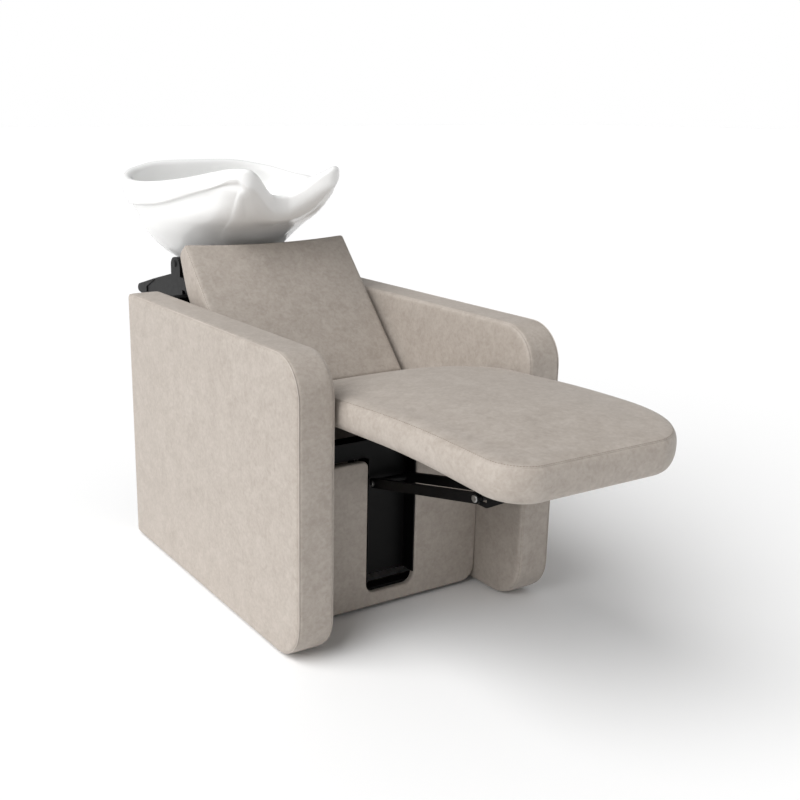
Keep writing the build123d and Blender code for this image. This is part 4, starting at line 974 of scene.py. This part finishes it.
# The rim's crest and the lower edge of its band, by the share of the length:
# height as a share of the way from its low place to its high one
CREST = (
    (-0.05, 1.00), (0.05, 0.98), (0.16, 0.80), (0.26, 0.56), (0.36, 0.33),
    (0.51, 0.07), (0.61, 0.00), (0.74, 0.05), (0.86, 0.26), (0.92, 0.48), (0.95, 0.60),
    (1.02, 1.04),
)
BAND = (
    (-0.05, 1.05), (0.070, 1.00), (0.115, 0.91), (0.186, 0.76), (0.258, 0.615),
    (0.329, 0.465), (0.395, 0.315), (0.459, 0.175), (0.525, 0.095), (0.626, 0.045),
    (0.72, 0.02), (1.05, 0.08),
)
# The neck lip between the horns, by distance from the middle: how far it lies
# behind the tips of the horns, and its height
NECK_SETBACK = (
    (0.0, 74.0), (18.0, 72.0), (47.0, 56.0), (73.0, 38.0), (97.0, 19.0), (114.0, 6.0),
    (132.0, 0.0),
)
NECK_CREST = (
    (0.0, 904.0), (18.0, 906.0), (47.0, 921.0), (73.0, 944.0), (97.0, 964.0),
    (114.0, 972.0), (132.0, 975.0),
)
# The lower edge of the apron below the lip, by distance from the middle
APRON_EDGE = (
    (0.0, 829.0), (36.0, 832.0), (60.0, 838.0), (80.0, 849.0), (95.0, 864.0),
    (107.0, 883.0), (118.0, 906.0), (128.0, 928.0), (138.0, 944.0),
)
# By the share of the height: width, near end and far end, as shares
LEVELS = (
    (1.10, 1.000, 0.008, 0.984), (0.82, 1.000, 0.014, 0.987), (0.70, 0.985, 0.062, 0.981),
    (0.56, 0.955, 0.114, 0.969), (0.48, 0.924, 0.160, 0.960), (0.38, 0.880, 0.252, 0.947),
    (0.28, 0.815, 0.325, 0.930), (0.12, 0.670, 0.420, 0.860), (0.00, 0.500, 0.480, 0.780),
)
BASIN_COLUMNS = 280
CURVE_STEPS = 40
# Low down an egg takes over from the outline, below a share of the height
EGG_WIDTH = 0.97
EGG_BELLY = 0.12
EGG_START, EGG_FADE = 0.72, 0.45
# Start and length of what holds near the front only, in shares of the length
# or, across the basin, in millimetres from its middle
FRONT_START, FRONT_FADE = 0.04, 0.12
CORNER_START, CORNER_FADE = 0.05, 0.08
SIDE_START, SIDE_FADE = 0.14, 0.10
NECK_START, NECK_FADE = 112.0, 18.0
APRON_START, APRON_FADE = 134.0, 14.0
# The ledge below the band: least drop from the crest, and step inwards and
# softness at the sides, with what the front adds
LEDGE_DROP = 29.0
LEDGE_STEP, LEDGE_STEP_FRONT = 8.0, 2.5
LEDGE_SOFT, LEDGE_SOFT_FRONT = 0.8, 1.8
# Rings from the waste hole to the foot of the wall: share of the way, and rise
FLOOR_RINGS = ((0.0, -1.5), (0.06, 0.0), (0.25, 0.3), (0.5, 1.0), (0.75, 2.5), (0.92, 5.5))
INNER_RINGS = 22
INNER_RISE = 10.0
INNER_DROP = 22.0
WALL_MORE_LOW = 6.0
WALL_MORE_HIGH = 8.0
# Rim, rolled outwards: drop from the crest, and inset
RIM_RINGS = (
    (14.0, 26.0), (8.0, 24.0), (3.6, 20.5), (1.0, 16.0), (0.0, 11.5), (0.8, 7.5),
    (3.2, 3.5), (7.0, 1.0), (12.0, 0.0), (18.0, 0.0),
)
BAND_DROP = 21.0
BAND_RINGS = (0.0, 0.2, 0.4, 0.6, 0.78, 0.9)
BAND_END = 5.0
# The ledge: drop, as a share of its softness, and inset, as one of its step
LEDGE_RINGS = ((-3.5, 0.0), (-1.0, 0.12), (1.0, 0.5), (2.4, 0.85), (4.2, 1.0), (8.0, 1.0))
BODY_RINGS = 20
BODY_DROP = 10.0
BODY_END = 5.0
BODY_INSET = 2.5
# The lower edge: rise from the bottom, and inset
FOOT_RINGS = ((2.0, 4.5), (0.4, 8.0), (0.0, 12.5))
UNDER_RINGS = (0.4, 0.75, 1.0)


def hermite(t):
    """Weights of a start, its tangent, an end and its tangent, at t."""
    return 2 * t**3 - 3 * t**2 + 1, t**3 - 2 * t**2 + t, 3 * t**2 - 2 * t**3, t**3 - t**2


def smooth_curve(places, values):
    """A curve through the values that doesn't overshoot them."""
    x = np.asarray(places, float)
    y = np.asarray(values, float)
    slope = np.diff(y) / np.diff(x)
    tangent = np.zeros(len(x))
    tangent[0], tangent[-1] = slope[0], slope[-1]
    for index in range(1, len(x) - 1):
        first, second = slope[index - 1], slope[index]
        if first * second > 0:
            tangent[index] = 2 * first * second / (first + second)

    def value(at):
        at = np.clip(at, x[0], x[-1])
        spot = np.clip(np.searchsorted(x, at) - 1, 0, len(x) - 2)
        gap = x[spot + 1] - x[spot]
        start, leaving, end, arriving = hermite((at - x[spot]) / gap)
        return (
            start * y[spot]
            + leaving * gap * tangent[spot]
            + end * y[spot + 1]
            + arriving * gap * tangent[spot + 1]
        )

    return value


def round_outline(count):
    """The basin's outline as a smooth closed curve with even spacing."""
    half_points = [Vector(point) for point in OUTLINE]
    whole = half_points + [Vector((-point.x, point.y)) for point in reversed(half_points[1:-1])]
    size = len(whole)
    fine = []
    for index in range(size):
        p0, p1 = whole[index - 1], whole[index]
        p2, p3 = whole[(index + 1) % size], whole[(index + 2) % size]
        k1, k2, k3 = (
            (second - first).length ** 0.5
            for first, second in ((p0, p1), (p1, p2), (p2, p3))
        )
        m1 = (p2 - p1) / k2 - (p2 - p0) / (k1 + k2) + (p1 - p0) / k1
        m2 = (p3 - p2) / k3 - (p3 - p1) / (k2 + k3) + (p2 - p1) / k2
        for step in range(CURVE_STEPS):
            start, leaving, end, arriving = hermite(step / CURVE_STEPS)
            fine.append(p1 * start + m1 * k2 * leaving + p2 * end + m2 * k2 * arriving)
    fine = np.array([tuple(point) for point in fine])
    closed = np.vstack([fine, fine[:1]])
    scale = np.array([BASIN_WIDTH / 2, BASIN_LENGTH])
    gaps = np.linalg.norm(np.diff(closed * scale, axis=0), axis=1)
    marks = np.concatenate([[0], np.cumsum(gaps)])
    at = np.linspace(0, marks[-1], count, endpoint=False)
    return np.column_stack([np.interp(at, marks, column) for column in closed.T])


def ease(value):
    """Soft passage from 0 to 1."""
    value = np.clip(value, 0.0, 1.0)
    return value * value * (3 - 2 * value)


def fade(value, start, length):
    """Soft passage from 1 to 0, over a length from start."""
    return 1 - ease((value - start) / length)


shares = round_outline(BASIN_COLUMNS)
along = shares[:, 1]
side_x = shares[:, 0] * BASIN_WIDTH / 2
off_middle = np.abs(side_x)
level_marks, *level_columns = zip(*reversed(LEVELS))
width_at, near_at, far_at = (smooth_curve(level_marks, column) for column in level_columns)
crest_at = smooth_curve(*zip(*CREST))
band_at = smooth_curve(*zip(*BAND))
setback_at = smooth_curve(*zip(*NECK_SETBACK))
neck_at = smooth_curve(*zip(*NECK_CREST))
apron_at = smooth_curve(*zip(*APRON_EDGE))
turns = 2 * pi * np.arange(BASIN_COLUMNS) / BASIN_COLUMNS
egg = np.column_stack(
    [EGG_WIDTH * np.sin(turns), (1 - np.cos(turns)) / 2 + EGG_BELLY * np.sin(turns) ** 2]
)
front_weight = fade(along, FRONT_START, FRONT_FADE)


def bowl_ring(height, inset):
    """(x, y) of every column at its own height, moved in by inset."""
    share = (height - BASIN_BOTTOM) / (HORN_HEIGHT - BASIN_BOTTOM)
    egged = ease((EGG_START - share) / EGG_FADE)[:, None]
    mixed = shares * (1 - egged) + egg * egged
    x = mixed[:, 0] * BASIN_WIDTH / 2 * width_at(share)
    near = BASIN_SETBACK + BASIN_LENGTH * near_at(share)
    far = BASIN_SETBACK + BASIN_LENGTH * far_at(share)
    y = near + (far - near) * mixed[:, 1]
    lead = near - BASIN_SETBACK
    gap = (setback_at(off_middle) - lead) / RIM_BLEND
    y = y + front_weight * RIM_BLEND * np.log1p(np.exp(np.clip(gap, -30, 30)))
    ahead = np.column_stack([np.roll(x, -1) - np.roll(x, 1), np.roll(y, -1) - np.roll(y, 1)])
    ahead /= np.maximum(np.linalg.norm(ahead, axis=1), TINY)[:, None]
    return x - ahead[:, 1] * inset, y + ahead[:, 0] * inset


crest_height = CREST_LOW + (HORN_HEIGHT - CREST_LOW) * crest_at(along)
between_horns = fade(off_middle, NECK_START, NECK_FADE)
crest_height += (neck_at(off_middle) - crest_height) * between_horns * front_weight
band_height = BAND_LOW + (BAND_HIGH - BAND_LOW) * band_at(along)
band_height = np.minimum(band_height, crest_height - LEDGE_DROP)
side_band = 1 - ease((SIDE_START - along) / SIDE_FADE)
corner_weight = fade(along, CORNER_START, CORNER_FADE)
apron = corner_weight * fade(off_middle, APRON_START, APRON_FADE)
ledge_height = band_height * (1 - apron) + apron_at(off_middle) * apron
ledge_height = np.minimum(ledge_height, crest_height - LEDGE_DROP)
ledge_step = LEDGE_STEP + LEDGE_STEP_FRONT * (1 - side_band)
ledge_soft = LEDGE_SOFT + LEDGE_SOFT_FRONT * (1 - side_band)

rings = []


def add_flat_ring(flat, height):
    """A ring with given (x, y) places, all at one height."""
    rings.append(np.column_stack([flat, np.full(BASIN_COLUMNS, height)]))


def add_ring(height, inset, lowered=0.0):
    """A ring with the bowl's outline, as it is that much lower down."""
    height = np.broadcast_to(height, (BASIN_COLUMNS,)).astype(float)
    x, y = bowl_ring(height - lowered, inset)
    rings.append(np.column_stack([x, y, height]))


# Inside, from the waste hole outwards and up
angle = np.arctan2(along * BASIN_LENGTH + BASIN_SETBACK - WASTE_Y, side_x)
hole = np.column_stack([WASTE_RADIUS * np.cos(angle), WASTE_Y + WASTE_RADIUS * np.sin(angle)])
floor_height = BASIN_BOTTOM + FLOOR
foot = np.column_stack(bowl_ring(np.full(BASIN_COLUMNS, BASIN_BOTTOM), WALL))
for share, lift in FLOOR_RINGS:
    add_flat_ring(hole * (1 - share) + foot * share, floor_height + lift)
inner_start = floor_height + INNER_RISE
inner_end = crest_height - INNER_DROP
for share in np.linspace(0.0, 1.0, INNER_RINGS):
    height = inner_start + (inner_end - inner_start) * share
    wall = WALL + WALL_MORE_LOW * (1 - share) ** 2 + WALL_MORE_HIGH * share**4
    add_ring(height, wall, FLOOR * (1 - share))
for drop, inset in RIM_RINGS:
    add_ring(crest_height - drop, inset - RIM_OUTSET)
# Band of the rim, its lower edge and the step in to the body
band_start = crest_height - BAND_DROP
for share in BAND_RINGS:
    add_ring(band_start + (ledge_height + BAND_END - band_start) * share, -RIM_OUTSET)
for drop, inset in LEDGE_RINGS:
    add_ring(ledge_height - drop * ledge_soft, inset * ledge_step - RIM_OUTSET)
body_start = ledge_height - BODY_DROP * ledge_soft
body_inset = ledge_step - RIM_OUTSET
for share in np.linspace(0.0, 1.0, BODY_RINGS):
    height = body_start + (BASIN_BOTTOM + BODY_END - body_start) * share
    add_ring(height, body_inset * (1 - share) + BODY_INSET * share)
for lift, inset in FOOT_RINGS:
    add_ring(BASIN_BOTTOM + lift, inset)
under = rings[-1][:, :2]
for share in UNDER_RINGS:
    add_flat_ring(under * (1 - share) + hole * share, BASIN_BOTTOM)

basin_points = [tuple(point) for ring in rings for point in ring]
basin_faces = []
for number in range(len(rings)):
    first = number * BASIN_COLUMNS
    second = (number + 1) % len(rings) * BASIN_COLUMNS
    basin_faces += between_rings(first, second, BASIN_COLUMNS)
basin = make_piece(
    "ceramic_basin", basin_points, basin_faces, "basin_tilter", "glazed_ceramic",
    stands_for=("basin",),
)
outward(basin)
refine(basin)

# Cap over the basin's tilt pin, on the post without a lever
TILT_Y, TILT_Z = 572.5, 716.0
CAP_PROFILE = ((9.5, -0.6), (9.5, 0.8), (9.0, 1.7), (7.6, 2.3), (5.0, 2.7), (2.4, 2.8))
CAP_SIDES = 40
post_x = corners("basin_post_right")[0].x
points, faces = [], []
for radius, rise in CAP_PROFILE:
    for index in range(CAP_SIDES):
        turned = 2 * pi * index / CAP_SIDES
        points.append(
            (post_x - rise, TILT_Y + radius * cos(turned), TILT_Z + radius * sin(turned))
        )
for first in range(0, len(points) - CAP_SIDES, CAP_SIDES):
    faces += between_rings(first, first + CAP_SIDES, CAP_SIDES)
faces.append(tuple(range(CAP_SIDES)))
faces.append(tuple(range(len(points) - CAP_SIDES, len(points))))
cap = make_piece("tilt_pin_cap", points, faces, "base", "black_plastic")
outward(cap)

# Floor, light and world
FLOOR_SIZE = 120.0
FLOOR_COLOUR = (0.96, 0.96, 0.96, 1.0)
bpy.ops.mesh.primitive_plane_add(size=FLOOR_SIZE)
floor = bpy.context.object
floor.name = "floor"
floor_shader = Shader("pale_floor", roughness=0.9, specular=0.1)
floor_shader.surface.inputs["Base Color"].default_value = FLOOR_COLOUR
floor.data.materials.append(floor_shader.material)

# Bright walls all round that fade into a dim ceiling, by a direction's height
WALL_LIGHT = (0.11, (1.0, 1.0, 1.0, 1.0))
CEILING_LIGHT = (0.17, (0.33, 0.33, 0.33, 1.0))
world = bpy.data.worlds.new("studio")
scene.world = world
world.use_nodes = True
tree = world.node_tree
direction = tree.nodes.new("ShaderNodeTexCoord").outputs["Generated"]
parts = tree.nodes.new("ShaderNodeSeparateXYZ")
height = tree.nodes.new("ShaderNodeMath")
height.operation = "ABSOLUTE"
passage = tree.nodes.new("ShaderNodeValToRGB")
for element, stop in zip(passage.color_ramp.elements, (WALL_LIGHT, CEILING_LIGHT)):
    element.position, element.color = stop
tree.links.new(direction, parts.inputs["Vector"])
tree.links.new(parts.outputs["Z"], height.inputs[0])
tree.links.new(height.outputs[0], passage.inputs["Fac"])
tree.links.new(passage.outputs["Color"], tree.nodes["Background"].inputs["Color"])
scene.view_settings.view_transform = "Standard"

# One broad soft lamp, from the left and above
LAMP_FROM = (-0.70, -0.05, 0.70)
LAMP_STRENGTH = 3.25
LAMP_SPREAD = 60.0
light = bpy.data.lights.new("key", "SUN")
light.energy = LAMP_STRENGTH
light.angle = radians(LAMP_SPREAD)
lamp = bpy.data.objects.new("key", light)
scene.collection.objects.link(lamp)
lamp.rotation_euler = (-Vector(LAMP_FROM)).to_track_quat("-Z", "Y").to_euler()
